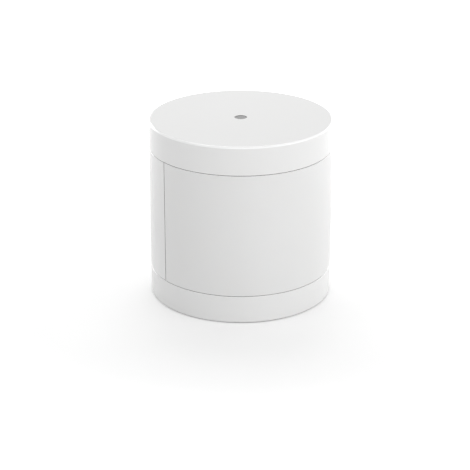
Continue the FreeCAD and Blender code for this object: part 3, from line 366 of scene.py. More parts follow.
def add_copy(shape, mesh, lie):
    """Put a copy of a finished mesh into a shape."""
    part = mesh.copy()
    part.transform(lie)
    shape.from_mesh(part)


screw_low, screw_high = sides("chassis_screws")
screw_circle = -screw_low.y - head_radius
head_seat = screw_high.z - head_height
chassis_screw = make_screw(head_seat - screw_low.z)
# Zinc on headed steel: brighter than the plate, with no direction in its fine scratches.
screw_steel = worked_metal(
    "zinc_screw_steel", (screw_bright, screw_dark), line=0.12, stretch=(1, 1, 1), rough=(0.22, 0.36), patch=3.5)
shape = bmesh.new()
for azimuth in (30, 150, 270):
    seat = Matrix.Rotation(math.radians(azimuth), 4, "Z") @ Matrix.Translation((screw_circle, 0, head_seat))
    add_copy(shape, chassis_screw, seat)
finished(shape, "pan_head_chassis_screws", [screw_steel], ["chassis_screws"])

board_low, board_high = sides("main_board")
board_face = board_low.y
screw_low, screw_high = sides("board_screws")
board_screw = make_screw(screw_high.y - board_face)
shape = bmesh.new()
for side in (-1, 1):
    seat = Matrix.Translation((side * (screw_high.x - head_radius), board_face, screw_low.z + head_radius))
    add_copy(shape, board_screw, seat @ Matrix.Rotation(math.pi / 2, 4, "X"))
finished(shape, "pan_head_board_screws", [screw_steel], ["board_screws"])

# Circuit board: glass-fibre laminate under green solder mask. Copper lines run under the mask,
# bare pads are tinned, and thin white legend marks where parts go.

mask_green = "#1F5B3D"
mask_dark = "#184B32"
laminate_tone = "#B9A873"
laminate_shade = "#9C8B58"
covered_copper = "#3C7F52"
covered_light = "#478C5D"
tin_bright = "#C9CBCC"
tin_dark = "#A9ABAC"
legend_white = "#E4E6E2"
legend_worn = "#CBD0C8"
line_width = 0.3
line_rise = 0.035
wide_line_rise = 0.045
legend_rise = 0.055
cloth_pitch = 0.6


def make_masked_laminate():
    """Solder mask on laminate: glossy deep green with the glass cloth just showing as a woven
    relief, and straw-coloured cut edges with their layers. Threads of 0.2 mm are drawn wider."""
    material, tree, shader, place = new_finish("masked_laminate", Coat_Weight=0.4, Coat_Roughness=0.15)
    facing = add_node(tree, "TexCoord").outputs["Normal"]
    across = add_node(tree, "SeparateXYZ", {0: facing}).outputs["Y"]
    on_face = add_node(tree, "Math", {0: across}, operation="ABSOLUTE")
    per_metre = math.tau / 20 / MM
    weave = {"Vector": place, "Scale": per_metre / cloth_pitch, "Distortion": 0.6}
    warp = add_node(tree, "TexWave", weave, bands_direction="X")
    weft = add_node(tree, "TexWave", weave, bands_direction="Z")
    cloth = add_node(tree, "Math", {0: warp, 1: weft}, operation="MAXIMUM")
    plies = {"Vector": place, "Scale": per_metre / 0.4, "Distortion": 1.5}
    layers = add_node(tree, "TexWave", plies, bands_direction="Y").outputs["Color"]
    edge = add_node(
        tree, "Mix", {"Factor": layers, "A": laminate_tone, "B": laminate_shade}, data_type="RGBA")
    shown = add_node(tree, "MapRange", {"Value": cloth, "To Min": 0.35, "To Max": 1})
    face = add_node(tree, "Mix", {"Factor": shown, "A": mask_dark, "B": mask_green}, data_type="RGBA")
    add_node(
        tree, "Mix", {"Factor": on_face, "A": edge, "B": face}, shader.inputs["Base Color"], data_type="RGBA")
    add_node(tree, "MapRange", {"Value": on_face, "To Min": 0.7, "To Max": 0.28}, shader.inputs["Roughness"])
    add_node(tree, "Bump", {"Height": cloth, "Strength": 1, "Distance": 0.002 * MM}, shader.inputs["Normal"])
    return material


def add_line(shape, route, width=line_width, rise=line_rise):
    """A flat line on the board's front through (x, z) points, with mitred bends."""
    points = [Vector(point) for point in route]
    rows = []
    for index, point in enumerate(points):
        before = (point - points[index - 1]).normalized() if index else None
        after = (points[index + 1] - point).normalized() if index + 1 < len(points) else None
        along = ((before or after) + (after or before)).normalized()
        aside = Vector((-along.y, along.x)) * (width / 2 / along.dot(after or before))
        ends = ((point + aside, 0), (point + aside, rise), (point - aside, rise), (point - aside, 0))
        rows.append([shape.verts.new((spot.x, board_face - out, spot.y)) for spot, out in ends])
    for row, following in zip(rows, rows[1:]):
        for index in range(4):
            other = (index + 1) % 4
            shape.faces.new((row[index], following[index], following[other], row[other]))
    shape.faces.new(rows[0])
    shape.faces.new(rows[-1])


def add_frame(shape, low_x, high_x, low_z, high_z, width=0.15):
    """A printed rectangle."""
    half = width / 2
    for level in (low_z, high_z):
        add_line(shape, [(low_x - half, level), (high_x + half, level)], width, legend_rise)
    for across in (low_x, high_x):
        add_line(shape, [(across, low_z + half), (across, high_z - half)], width, legend_rise)


def printed_ring(shape, x, z, radius, width=0.15, rise=legend_rise):
    outline = [(radius - width, 0), (radius, 0), (radius, rise), (radius - width, rise)]
    add_turned(shape, outline, (x, board_face, z), facing_front=True, steps=64)


dress(make_masked_laminate(), "main_board")

chip_low, chip_high = sides("microcontroller")
crystal_low, crystal_high = sides("crystal")
shield_low, shield_high = sides("radio_shield")
lamp_low, lamp_high = sides("status_led")
guard_low, guard_high = sides("insect_guard")
key_low, key_high = sides("pairing_switch")
can_low, can_high = sides("reservoir_capacitor")
bead_low, bead_high = sides("thermistor")
left_chips_low, left_chips_high = sides("capacitors")
right_chips_low, right_chips_high = sides("resistors")
chip_length = 0.8
chip_pitch = 1.4
left_levels = [left_chips_low.z + chip_length / 2 + chip_pitch * index for index in range(4)]
right_levels = [right_chips_low.z + chip_length / 2 + chip_pitch * index for index in range(6)]
foot_pitch = 0.65
chip_feet = [foot_pitch * index for index in range(-3, 4)]
chip_middle = (chip_low.z + chip_high.z) / 2
left_bus = -6.3
right_bus = 12.4
bus_pitch = 0.5
test_pads = [-5, -2.5, 0, 2.5, 5]
test_level = board_low.z + 1.1

shape = bmesh.new()
for hand in (-1, 1):
    bend = chip_high.z + 1.4
    add_line(shape, [
        (hand * foot_pitch, chip_high.z), (hand * foot_pitch, bend), (hand * 1.2, bend + 0.55),
        (hand * 1.2, lamp_low.z)])
    add_line(shape, [
        (hand * 2.25, key_low.z + 0.8), (hand * 5, key_low.z + 0.8), (hand * 6.4, key_low.z + 2.2),
        (hand * 6.4, shield_low.z + 1.5), (hand * 7.6, shield_low.z + 2.7)])
    add_line(shape, [
        (hand * 16.2, board_low.z + 5), (hand * 16.2, board_high.z - 4.2), (hand * 13.2, board_high.z - 1.2)],
        0.6, wide_line_rise)
for level in left_levels:
    add_line(shape, [(chip_low.x, level), (left_chips_high.x, level)])
    add_line(shape, [(left_chips_low.x, level), (left_bus, level)])
add_line(shape, [(left_bus, left_levels[0] - 0.25), (left_bus, left_levels[-1] + 0.25)], 0.5, wide_line_rise)
add_line(shape, [(left_bus, chip_low.z + 1), (-7.2, chip_low.z + 0.1), (bead_high.x, bead_high.z - 0.3)])
add_line(shape, [
    (chip_low.x, chip_high.z - 0.2), (-8.6, chip_high.z - 0.2), (-10.8, chip_high.z - 2.4), (-10.8, shield_high.z)])
for index, level in enumerate(right_levels):
    bus = right_bus + bus_pitch * (len(right_levels) - 1 - index)
    turn = crystal_low.z + bus_pitch * (len(right_levels) - 1 - index)
    add_line(shape, [
        (right_chips_high.x, level), (bus - bus_pitch, level), (bus, level + bus_pitch), (bus, turn - bus_pitch),
        (bus - bus_pitch, turn), (crystal_high.x + 1, turn)])
for across in test_pads:
    add_line(shape, [(across, test_level), (across, key_low.z - 0.4)])
add_line(shape, [
    (test_pads[0] - 0.15, key_low.z - 0.4), (test_pads[-1] + 0.15, key_low.z - 0.4)], rise=wide_line_rise)
# Copper under solder mask: the mask's own green, lighter and a little raised.
coated_copper = moulded(
    "mask_over_copper", (covered_copper, covered_light), grain=0.2, depth=0.001, rough=(0.22, 0.32),
    Coat_Weight=0.4, Coat_Roughness=0.12)
finished(shape, "board_copper_lines", [coated_copper], [])

# Reflowed tin: a bright soft silver that is slightly lumpy where it set.
solder_tin = moulded(
    "reflowed_tin", (tin_bright, tin_dark), grain=0.5, depth=0.01, rough=(0.18, 0.32), Metallic=1)
shape = bmesh.new()


def add_pad(low_x, high_x, low_z, high_z, thick=0.06):
    add_block(shape, (low_x, board_face - thick, low_z), (high_x, board_face, high_z), ease=thick / 3)


for low, high, levels in (
        (left_chips_low, left_chips_high, left_levels), (right_chips_low, right_chips_high, right_levels)):
    for level in levels:
        add_pad(low.x - 0.3, low.x + 0.4, level - 0.45, level + 0.45)
        add_pad(high.x - 0.4, high.x + 0.3, level - 0.45, level + 0.45)
for foot in chip_feet:
    add_pad(chip_low.x - 0.3, chip_low.x + 0.1, chip_middle + foot - 0.16, chip_middle + foot + 0.16, 0.14)
    add_pad(chip_high.x - 0.1, chip_high.x + 0.3, chip_middle + foot - 0.16, chip_middle + foot + 0.16, 0.14)
    add_pad(foot - 0.16, foot + 0.16, chip_low.z - 0.3, chip_low.z + 0.1, 0.14)
    add_pad(foot - 0.16, foot + 0.16, chip_high.z - 0.1, chip_high.z + 0.3, 0.14)
for part_low, part_high in ((crystal_low, crystal_high), (key_low, key_high)):
    for across in (part_low.x, part_high.x):
        for level in (part_low.z + 0.5, part_high.z - 0.5):
            add_pad(across - 0.35, across + 0.35, level - 0.4, level + 0.4, 0.12)
for across in (lamp_low.x, lamp_high.x):
    add_pad(across - 0.35, across + 0.2, lamp_low.z + 0.1, lamp_high.z - 0.15, 0.12)
for index in range(4):
    along = shield_low.z + (shield_high.z - shield_low.z) * (index + 0.5) / 4
    for across in (shield_low.x, shield_high.x):
        add_pad(across - 0.25, across + 0.25, along - 0.5, along + 0.5, 0.22)
can_level = (can_low.z + can_high.z) / 2
for across in (can_low.x - 0.3, can_high.x - 0.3):
    add_pad(across, across + 0.6, can_level - 0.4, can_level + 0.4, 0.15)
for across in test_pads:
    add_turned(shape, [(0, 0), (0.55, 0), (0.5, 0.05), (0, 0.05)], (across, board_face, test_level), True, 24)
screw_ring = [(1.15, 0), (2.3, 0), (2.25, 0.04), (1.15, 0.04)]
for side in (-1, 1):
    ring_place = (side * (screw_high.x - head_radius), board_face, screw_low.z + head_radius)
    add_turned(shape, [(radius, up) for radius, up in screw_ring], ring_place, True, 48)
finished(shape, "board_solder_pads", [solder_tin], [])

shape = bmesh.new()
chip_frame = chip_high.x + 0.5
chip_frame_top = chip_high.z + 0.5
add_line(shape, [
    (-chip_frame, chip_low.z - 0.1), (-chip_frame, chip_frame_top), (chip_frame, chip_frame_top),
    (chip_frame, chip_low.z - 0.1)], 0.15, legend_rise)
crystal_frame = crystal_high.x + 0.55
crystal_frame_top = crystal_high.z + 0.4
add_line(shape, [
    (chip_frame + 0.075, crystal_frame_top), (crystal_frame, crystal_frame_top),
    (crystal_frame, crystal_low.z - 0.3), (chip_frame + 0.6, crystal_low.z - 0.3)], 0.15, legend_rise)
add_line(shape, [
    (shield_low.x - 0.2, shield_high.z + 0.4), (shield_high.x + 0.3, shield_high.z + 0.4)], 0.15, legend_rise)
add_frame(shape, lamp_low.x - 0.55, lamp_high.x + 0.55, lamp_low.z - 0.3, board_high.z - 0.1)
for side in (key_low.x - 0.5, key_high.x + 0.5):
    add_line(shape, [(side, key_low.z - 0.1), (side, key_high.z + 0.1)], 0.15, legend_rise)
printed_ring(shape, 0, (guard_low.z + guard_high.z) / 2, guard_high.x + 0.35)
printed_ring(shape, (can_low.x + can_high.x) / 2, can_level, can_high.x - can_low.x - 1.6)
printed_ring(shape, (bead_low.x + bead_high.x) / 2, (bead_low.z + bead_high.z) / 2, 1.15)
plus_x = can_high.x - 0.4
add_line(shape, [(plus_x - 0.45, can_high.z + 0.9), (plus_x + 0.45, can_high.z + 0.9)], 0.15, legend_rise)
for side in (-1, 1):
    plus_foot = can_high.z + 0.9 + side * 0.075
    add_line(shape, [(plus_x, plus_foot), (plus_x, plus_foot + side * 0.375)], 0.15, legend_rise)
# Screen-printed epoxy ink: flat white, thin enough for the mesh to leave pinholes.
legend_ink = moulded(
    "legend_ink", (legend_white, legend_worn), grain=0.2, depth=0.003, rough=(0.55, 0.65), patch=0.3, detail=4)
finished(shape, "board_legend", [legend_ink], [])

# Battery holder: a half tube of black glass-filled nylon between the board and the collar. It
# grips the cell, and its floor and roof carry the spring and the contacts.

nylon_black = "#2A2B2D"
nylon_grey = "#3A3B3D"


def make_glass_nylon():
    """Nylon with short glass fibres: a dull black on which fibres near the skin leave pale
    streaks along the flow. The fibres are drawn 0.15 mm wide, ten times as wide as they are."""
    material = moulded(
        "glass_filled_nylon", (nylon_black, nylon_grey), grain=0.3, depth=0.004, rough=(0.42, 0.58), IOR=1.53)
    tree = material.node_tree
    shader = tree.nodes["Principled BSDF"]
    place = add_node(tree, "TexCoord").outputs["Object"]
    lie = add_node(tree, "Mapping", {"Vector": place, "Scale": (1, 1, 0.12)})
    fibres = add_node(tree, "TexNoise", {"Vector": lie, "Scale": 1 / (0.15 * MM), "Detail": 3})
    streaks = add_node(tree, "MapRange", {"Value": fibres, "From Min": 0.5, "From Max": 0.7})
    streaked = {"Factor": streaks, "A": nylon_black, "B": nylon_grey}
    add_node(tree, "Mix", streaked, shader.inputs["Base Color"], data_type="RGBA")
    return material


dress(make_glass_nylon(), "battery_holder")

# Battery: a lithium cell in a nickel-plated steel can, rolled in near its top and wrapped in
# shrink film, with a fibre washer round its positive end. A spring and two contacts hold it.

film_blue = "#2D5C8E"
film_deep = "#254E7C"
film_band = "#D7DCE0"
nickel_bright = "#C8C4BB"
nickel_dark = "#A29E95"
washer_tone = "#C9D4C4"
washer_shade = "#B5C2B0"
film_fold = 1.9
band_foot = 7.5
band_height = 1.2
washer_radius = 6.4


def mask_above(tree, place, axis, level, soft=0.05):
    """0 below a level in millimetres along an axis, and 1 above it."""
    part = add_node(tree, "SeparateXYZ", {0: place}).outputs[axis]
    return add_node(
        tree, "MapRange", {"Value": part, "From Min": (level - soft) * MM, "From Max": (level + soft) * MM})


def make_shrink_film():
    """Printed PVC film, shrunk on: a glossy blue with one pale band at the positive end, and
    faint creases that the heat leaves."""
    material, tree, shader, place = new_finish("shrunk_pvc_film", IOR=1.54, Coat_Weight=0.3, Coat_Roughness=0.1)
    lie = add_node(tree, "Mapping", {"Vector": place, "Scale": (1, 1, 0.3)})
    creases = add_node(tree, "TexNoise", {"Vector": lie, "Scale": 1 / (1.6 * MM), "Detail": 4})
    blue = add_node(tree, "Mix", {"Factor": creases, "A": film_blue, "B": film_deep}, data_type="RGBA")
    foot = cell_high.z - band_foot
    above = mask_above(tree, place, "Z", foot)
    below = mask_above(tree, place, "Z", foot + band_height)
    band = add_node(tree, "Math", {0: above, 1: below}, operation="SUBTRACT")
    add_node(
        tree, "Mix", {"Factor": band, "A": blue, "B": film_band}, shader.inputs["Base Color"], data_type="RGBA")
    add_node(tree, "MapRange", {"Value": creases, "To Min": 0.2, "To Max": 0.32}, shader.inputs["Roughness"])
    add_node(tree, "Bump", {"Height": creases, "Strength": 1, "Distance": 0.02 * MM}, shader.inputs["Normal"])
    return material


cell_low, cell_high = sides("battery_cell")
cell_radius = cell_high.x
cell_axis = ((cell_low.x + cell_high.x) / 2, (cell_low.y + cell_high.y) / 2, 0)
bottom = cell_low.z
top = cell_high.z
film_outline = [
    (cell_radius - film_fold, bottom, 0), (cell_radius, bottom, 0.8), (cell_radius, top - 2.7, 0.3),
    (cell_radius - 0.5, top - 2.4, 0.2), (cell_radius - 0.5, top - 2.0, 0.2), (cell_radius, top - 1.7, 0.3),
    (cell_radius, top, 0.7), (cell_radius - film_fold, top, 0.05), (cell_radius - film_fold, top - 0.15, 0),
    (cell_radius - 1, top - 1.2, 0), (cell_radius - 1, bottom + 1.2, 0),
    (cell_radius - film_fold, bottom + 0.15, 0)]
can_outline = [
    (0, bottom + 0.08, 0), (cell_radius - 0.4, bottom + 0.08, 0.6), (cell_radius - 0.6, top - 0.12, 0.5),
    (0, top - 0.12, 0)]
washer_outline = [
    (3.5, top - 0.2, 0), (washer_radius, top - 0.2, 0), (washer_radius, top - 0.03, 0), (3.5, top - 0.03, 0)]
shape = bmesh.new()
add_turned(shape, eased(film_outline), cell_axis, steps=128)
add_turned(shape, eased(can_outline), cell_axis, finish=1)
add_turned(shape, eased(washer_outline), cell_axis, finish=2)
# Nickel plate: a warm bright silver with fine drawing lines under it.
nickel_can = worked_metal(
    "nickel_plated_can", (nickel_bright, nickel_dark), line=0.15, stretch=(1, 1, 1), rough=(0.2, 0.34), patch=2.5)
# Pressed fibre board: a flat pale green with visible flecks.
pressed_fibre = moulded(
    "pressed_fibre", (washer_tone, washer_shade), grain=0.35, depth=0.01, rough=(0.8, 0.9), patch=0.35, detail=5)
finished(shape, "wrapped_cell", [make_shrink_film(), nickel_can, pressed_fibre], ["battery_cell"])

nub_low, nub_high = sides("battery_terminal")
nub_outline = [
    (0, nub_low.z - 0.12, 0), (nub_high.x, nub_low.z - 0.12, 0), (nub_high.x, nub_low.z + 0.05, 0.05),
    (nub_high.x - 0.6, nub_low.z + 0.1, 0.2), (nub_high.x - 0.8, nub_high.z, 0.25), (0, nub_high.z, 0)]
shape = bmesh.new()
add_turned(shape, eased(nub_outline), cell_axis, steps=64)
finished(shape, "positive_nub", [nickel_can], ["battery_terminal"])

# The same plate on hard rolled strip and drawn wire, with lines along the strip.
spring_nickel = worked_metal(
    "nickel_plated_spring_strip", (nickel_bright, nickel_dark), line=0.15, stretch=(1, 1, 6), rough=(0.18, 0.3),
    patch=2.5)
dress(spring_nickel, "positive_contact", "negative_contact", "battery_spring")

# Infrared sensor: a gold-plated header with the heat-sensing chip and three leads, a drawn
# nickel can welded over it, and a coated silicon window glued into the can's face.

gold_bright = "#D9B667"
gold_dark = "#B8924A"
can_bright = "#C9CACA"
can_dark = "#A3A5A7"
silicon_tone = "#26242C"
silicon_tint = "#3B3450"
header_thick = 0.5
can_wall = 0.3
lead_radius = 0.22
lead_circle = 2.54


def make_coated_silicon():
    """Polished silicon under thin heat filters: almost a mirror, dark, with a violet cast that
    wanders with the thickness of the layers."""
    material, tree, shader, place = new_finish("coated_silicon", IOR=2.0)
    layers = add_node(tree, "TexNoise", {"Vector": place, "Scale": 1 / (3 * MM)})
    add_node(tree, "MapRange", {"Value": layers, "To Min": 0.05, "To Max": 0.12}, shader.inputs["Roughness"])
    tints = {"Factor": layers, "A": silicon_tone, "B": silicon_tint}
    add_node(tree, "Mix", tints, shader.inputs["Base Color"], data_type="RGBA")
    return material


header_low, header_high = sides("sensor_header")
filter_low, filter_high = sides("sensor_filter")
drum_low, drum_high = sides("sensor_can")
sensor_level = (drum_low.z + drum_high.z) / 2
sensor_place = (0, board_face, sensor_level)
flange_radius = drum_high.x
drum_radius = flange_radius - 0.45
drum_top = board_face - drum_low.y
shape = bmesh.new()
add_turned(shape, eased([
    (0, 0, 0), (flange_radius, 0, 0.05), (flange_radius, header_thick, 0.05), (0, header_thick, 0)]),
    sensor_place, facing_front=True)
chip_front = header_low.y
chip_half = 1.5
add_block(
    shape, (-chip_half, chip_front, sensor_level - chip_half),
    (chip_half, board_face - header_thick, sensor_level + chip_half), ease=0.05)
for across, up in ((lead_circle, 0), (0, lead_circle), (-lead_circle, 0)):
    lead_foot = board_face - header_high.y
    add_turned(
        shape, [(0, lead_foot), (lead_radius, lead_foot), (lead_radius, 0.1), (0, 0.1)],
        (across, board_face, sensor_level + up), facing_front=True, steps=20)
# Thin gold over nickel: warm, bright, and a little streaked from its bath.
gold_plate = worked_metal(
    "gold_plated_header", (gold_bright, gold_dark), line=0.2, stretch=(1, 1, 1), rough=(0.2, 0.32))
finished(shape, "header_with_leads", [gold_plate], ["sensor_header"])

can = bmesh.new()
add_turned(can, eased([
    (0, drum_top - can_wall, 0), (drum_radius - can_wall, drum_top - can_wall, 0.2),
    (drum_radius - can_wall, header_thick, 0), (flange_radius, header_thick, 0.04),
    (flange_radius, header_thick + can_wall, 0.12), (drum_radius, header_thick + can_wall, 0.15),
    (drum_radius, drum_top, 0.45), (0, drum_top, 0)]), sensor_place, facing_front=True)
window = bmesh.new()
add_block(
    window, (filter_low.x + 0.25, filter_low.y - 1, filter_low.z + 0.25),
    (filter_high.x - 0.25, filter_high.y, filter_high.z - 0.25))
# Nickel-plated steel drawn to a cup: fine scratches run along the draw, from front to back.
drawn_nickel = worked_metal(
    "drawn_nickel_can", (can_bright, can_dark), line=0.14, stretch=(1, 8, 1), rough=(0.2, 0.36), patch=2)
finished(cut_from(can, window), "drawn_sensor_can", [drawn_nickel], ["sensor_can"])

pane_back = filter_low.y + can_wall
shape = bmesh.new()
add_block(
    shape, (filter_low.x + 0.3, filter_low.y + 0.03, filter_low.z + 0.3),
    (filter_high.x - 0.3, pane_back + 0.01, filter_high.z - 0.3), ease=0.03)
add_block(
    shape, (filter_low.x, pane_back, filter_low.z), (filter_high.x, filter_high.y, filter_high.z), ease=0.03)
finished(shape, "silicon_window", [make_coated_silicon()], ["sensor_filter"])

# Insect guard: a moulded silicone ring that fills the gap between the sensor and the lens's
# frame, so that nothing crawls over the window. It is held by its own stretch.

rubber_tone = "#3A3C3E"
rubber_dust = "#4A4C4D"

guard_radius = guard_high.x
guard_bore = flange_radius + 0.15
guard_depth = board_face - guard_low.y
shape = bmesh.new()
add_turned(shape, eased([
    (guard_bore, 0, 0.1), (guard_radius, 0, 0.1), (guard_radius, 0.9, 0.1), (guard_radius - 0.45, 1.1, 0.15),
    (guard_radius - 0.45, 2, 0.15), (guard_radius, 2.2, 0.1), (guard_radius, guard_depth, 0.35),
    (guard_bore, guard_depth, 0.35)]), sensor_place, facing_front=True, steps=128)
# Silicone rubber: matt dark grey that keeps pale dust in its fine skin.
silicone = moulded(
    "moulded_silicone", (rubber_tone, rubber_dust), grain=0.25, depth=0.006, rough=(0.6, 0.75), patch=0.8,
    detail=5, IOR=1.43)
finished(shape, "silicone_guard", [silicone], ["insect_guard"])

# Status lamp: a side-looking surface lamp at the board's top edge, right under the light pipe.
# Its white body holds a pool of clear resin, and two tinned ends are soldered to the board.

lamp_white = "#E9E8E2"
lamp_shade = "#DEDCD3"
resin_clear = "#D8DCC8"
resin_deep = "#C4C9B0"
lamp_end = 0.2
pool_depth = 0.3


def make_lamp_resin():
    """Cast clear silicone with a phosphor's straw tint: glossy, with light going in."""
    material, tree, shader, place = new_finish(
        "cast_lamp_resin", IOR=1.5, Subsurface_Weight=0.5, Subsurface_Scale=0.3 * MM)
    cast = add_node(tree, "TexNoise", {"Vector": place, "Scale": 1 / (0.6 * MM)})
    add_node(tree, "MapRange", {"Value": cast, "To Min": 0.08, "To Max": 0.16}, shader.inputs["Roughness"])
    tints = {"Factor": cast, "A": resin_clear, "B": resin_deep}
    add_node(tree, "Mix", tints, shader.inputs["Base Color"], data_type="RGBA")
    return material


body = bmesh.new()
add_block(body, (lamp_low.x + lamp_end, lamp_low.y, lamp_low.z), (
    lamp_high.x - lamp_end, board_face, lamp_high.z), ease=0.06)
pool = bmesh.new()
pool_floor = lamp_high.z - pool_depth
add_block(pool, (lamp_low.x + 0.5, lamp_low.y + 0.25, pool_floor), (
    lamp_high.x - 0.5, board_face - 0.25, lamp_high.z + 1))
shape = cut_from(body, pool)
add_block(shape, (lamp_low.x + 0.5, lamp_low.y + 0.25, pool_floor), (
    lamp_high.x - 0.5, board_face - 0.25, lamp_high.z - 0.08), finish=1)
for outer, inner in ((lamp_low.x, lamp_low.x + lamp_end), (lamp_high.x, lamp_high.x - lamp_end)):
    add_block(shape, (min(outer, inner), lamp_low.y + 0.3, lamp_low.z + 0.1), (
        max(outer, inner), board_face, lamp_high.z - 0.15), ease=0.04, finish=2)
# Heat-resistant white resin: flat, chalky and faintly mottled.
lamp_body = moulded(
    "lamp_body_resin", (lamp_white, lamp_shade), grain=0.1, depth=0.002, rough=(0.45, 0.6), patch=0.5, IOR=1.55)
finished(shape, "side_looking_lamp", [lamp_body, make_lamp_resin(), solder_tin], ["status_led"])

# Radio screen: a tin-plated steel box, folded and soldered over the radio. Holes in its lid let
# the solder's heat in.

shield_bright = "#BFC1C1"
shield_dark = "#9FA1A2"
shield_sheet = 0.2
vent_radius = 0.5
vent_pitch = 1.8

box = bmesh.new()
add_block(box, shield_low, (shield_high.x, board_face, shield_high.z), ease=0.25, bends=4)
hollow = bmesh.new()
add_block(hollow, (shield_low.x + shield_sheet, shield_low.y + shield_sheet, shield_low.z + shield_sheet), (
    shield_high.x - shield_sheet, board_face + 1, shield_high.z - shield_sheet))
vents = bmesh.new()
for column in (-1, 0, 1):
    for row in (-1.5, -0.5, 0.5, 1.5):
        vent_place = (
            (shield_low.x + shield_high.x) / 2 + column * vent_pitch, shield_low.y + 1,
            (shield_low.z + shield_high.z) / 2 + row * vent_pitch)
        add_turned(vents, [(0, 0), (vent_radius, 0), (vent_radius, 2), (0, 2)], vent_place, True, 24)
# Tin-plated sheet steel: pale and soft in its gloss, with rolling lines and crystal clouds.
tinned_sheet = worked_metal(
    "tin_plated_sheet", (shield_bright, shield_dark), line=0.2, stretch=(1, 1, 10), rough=(0.28, 0.42),
    patch=1.4, detail=4)
shape = cut_from(cut_from(box, hollow), vents)
finished(shape, "vented_radio_screen", [tinned_sheet], ["radio_shield"])

# Controller and crystal: a flat moulded chip, and a quartz crystal in a ceramic tray with a
# welded lid. Both lie on the board above the sensor.

epoxy_black = "#2B2C2E"
epoxy_grey = "#37383A"
tray_white = "#D9D2C0"
tray_shade = "#C9C1AD"
lid_bright = "#CDC6B4"
lid_dark = "#ABA491"
dimple_radius = 0.35

chip = bmesh.new()
add_block(chip, (chip_low.x, chip_low.y, chip_low.z), (chip_high.x, board_face, chip_high.z), ease=0.1)
dimple = bmesh.new()
add_turned(
    dimple, [(0, 0), (dimple_radius, 0), (dimple_radius, 1), (0, 1)],
    (chip_low.x + 0.9, chip_low.y + 0.08, chip_high.z - 0.9), True, 32)
# Filled epoxy, moulded matt: near black, with the glass filler as a fine pale sparkle. The
# grains of 0.03 mm are drawn at 0.12 mm.
chip_epoxy = moulded(
    "moulded_chip_epoxy", (epoxy_black, epoxy_grey), grain=0.12, depth=0.004, rough=(0.5, 0.62), patch=0.12,
    detail=4, IOR=1.55)
finished(cut_from(chip, dimple), "flat_controller_chip", [chip_epoxy], ["microcontroller"])

shape = bmesh.new()
tray_front = crystal_low.y + 0.25
add_block(shape, (crystal_low.x, tray_front, crystal_low.z), (crystal_high.x, board_face, crystal_high.z), ease=0.05)
add_block(shape, (crystal_low.x + 0.2, crystal_low.y, crystal_low.z + 0.2), (
    crystal_high.x - 0.2, tray_front + 0.02, crystal_high.z - 0.2), ease=0.08, finish=1)
# Fired alumina is dense, flat and faintly grained, and the gold-flashed iron lid is rolled.
fired = {"grain": 0.12, "depth": 0.003, "rough": (0.4, 0.55), "patch": 0.3, "detail": 4, "IOR": 1.76}
tray_ceramic = moulded("crystal_tray", (tray_white, tray_shade), **fired)
lid_metal = worked_metal(
    "welded_lid", (lid_bright, lid_dark), line=0.12, stretch=(6, 1, 1), rough=(0.2, 0.32), patch=3.5)
finished(shape, "crystal_with_lid", [tray_ceramic, lid_metal], ["crystal"])

# Chip capacitors and resistors: fired ceramic with tinned ends, 1.6 mm long. The capacitors are
# plain brown blocks, and the resistors have a dark glaze over a white body.

capacitor_brown = "#A48560"
capacitor_dark = "#8F7250"
resistor_white = "#E2E0DA"
resistor_shade = "#D2D0C8"
glaze_dark = "#26282B"
glaze_grey = "#33363A"
end_length = 0.32


def add_chip(shape, low_x, high_x, front, level, glaze):
    """One chip with its body and two ends, which wrap a little further out."""
    low_z = level - chip_length / 2
    high_z = level + chip_length / 2
    thin = 0.03
    body_front = front + thin + (0.04 if glaze else 0)
    add_block(shape, (low_x + thin, body_front, low_z + thin), (
        high_x - thin, board_face - thin, high_z - thin), ease=0.03)
    for outer, inner in ((low_x, low_x + end_length), (high_x, high_x - end_length)):
        add_block(shape, (min(outer, inner), front, low_z), (
            max(outer, inner), board_face, high_z), ease=0.05, finish=1)
    if glaze:
        add_block(shape, (low_x + end_length, front + thin, low_z + 2 * thin), (
            high_x - end_length, body_front + 0.01, high_z - 2 * thin), finish=2)


shape = bmesh.new()
for level in left_levels:
    add_chip(shape, left_chips_low.x, left_chips_high.x, left_chips_low.y, level, glaze=False)
brown_ceramic = moulded("fired_brown_ceramic", (capacitor_brown, capacitor_dark), **fired)
finished(shape, "chip_capacitors", [brown_ceramic, solder_tin], ["capacitors"])

shape = bmesh.new()
for level in right_levels:
    add_chip(shape, right_chips_low.x, right_chips_high.x, right_chips_low.y, level, glaze=True)
white_ceramic = moulded("fired_white_ceramic", (resistor_white, resistor_shade), **fired)
# Glass glaze with dark pigment: glossy and softly uneven where it flowed.
dark_glaze = moulded(
    "fired_dark_glaze", (glaze_dark, glaze_grey), grain=0.3, depth=0.004, rough=(0.15, 0.3), patch=0.4, IOR=1.5)
finished(shape, "chip_resistors", [white_ceramic, solder_tin, dark_glaze], ["resistors"])

# Reservoir capacitor: a deep-drawn aluminium can with a scored top, crimped round its rubber
# plug on a black base. It covers the radio's short pulls on the battery.

aluminium_bright = "#C6C8CA"
aluminium_dark = "#A8ABAE"
mark_dark = "#3A3E44"
base_depth = 0.5
score_span = 2.6
score_width = 0.16


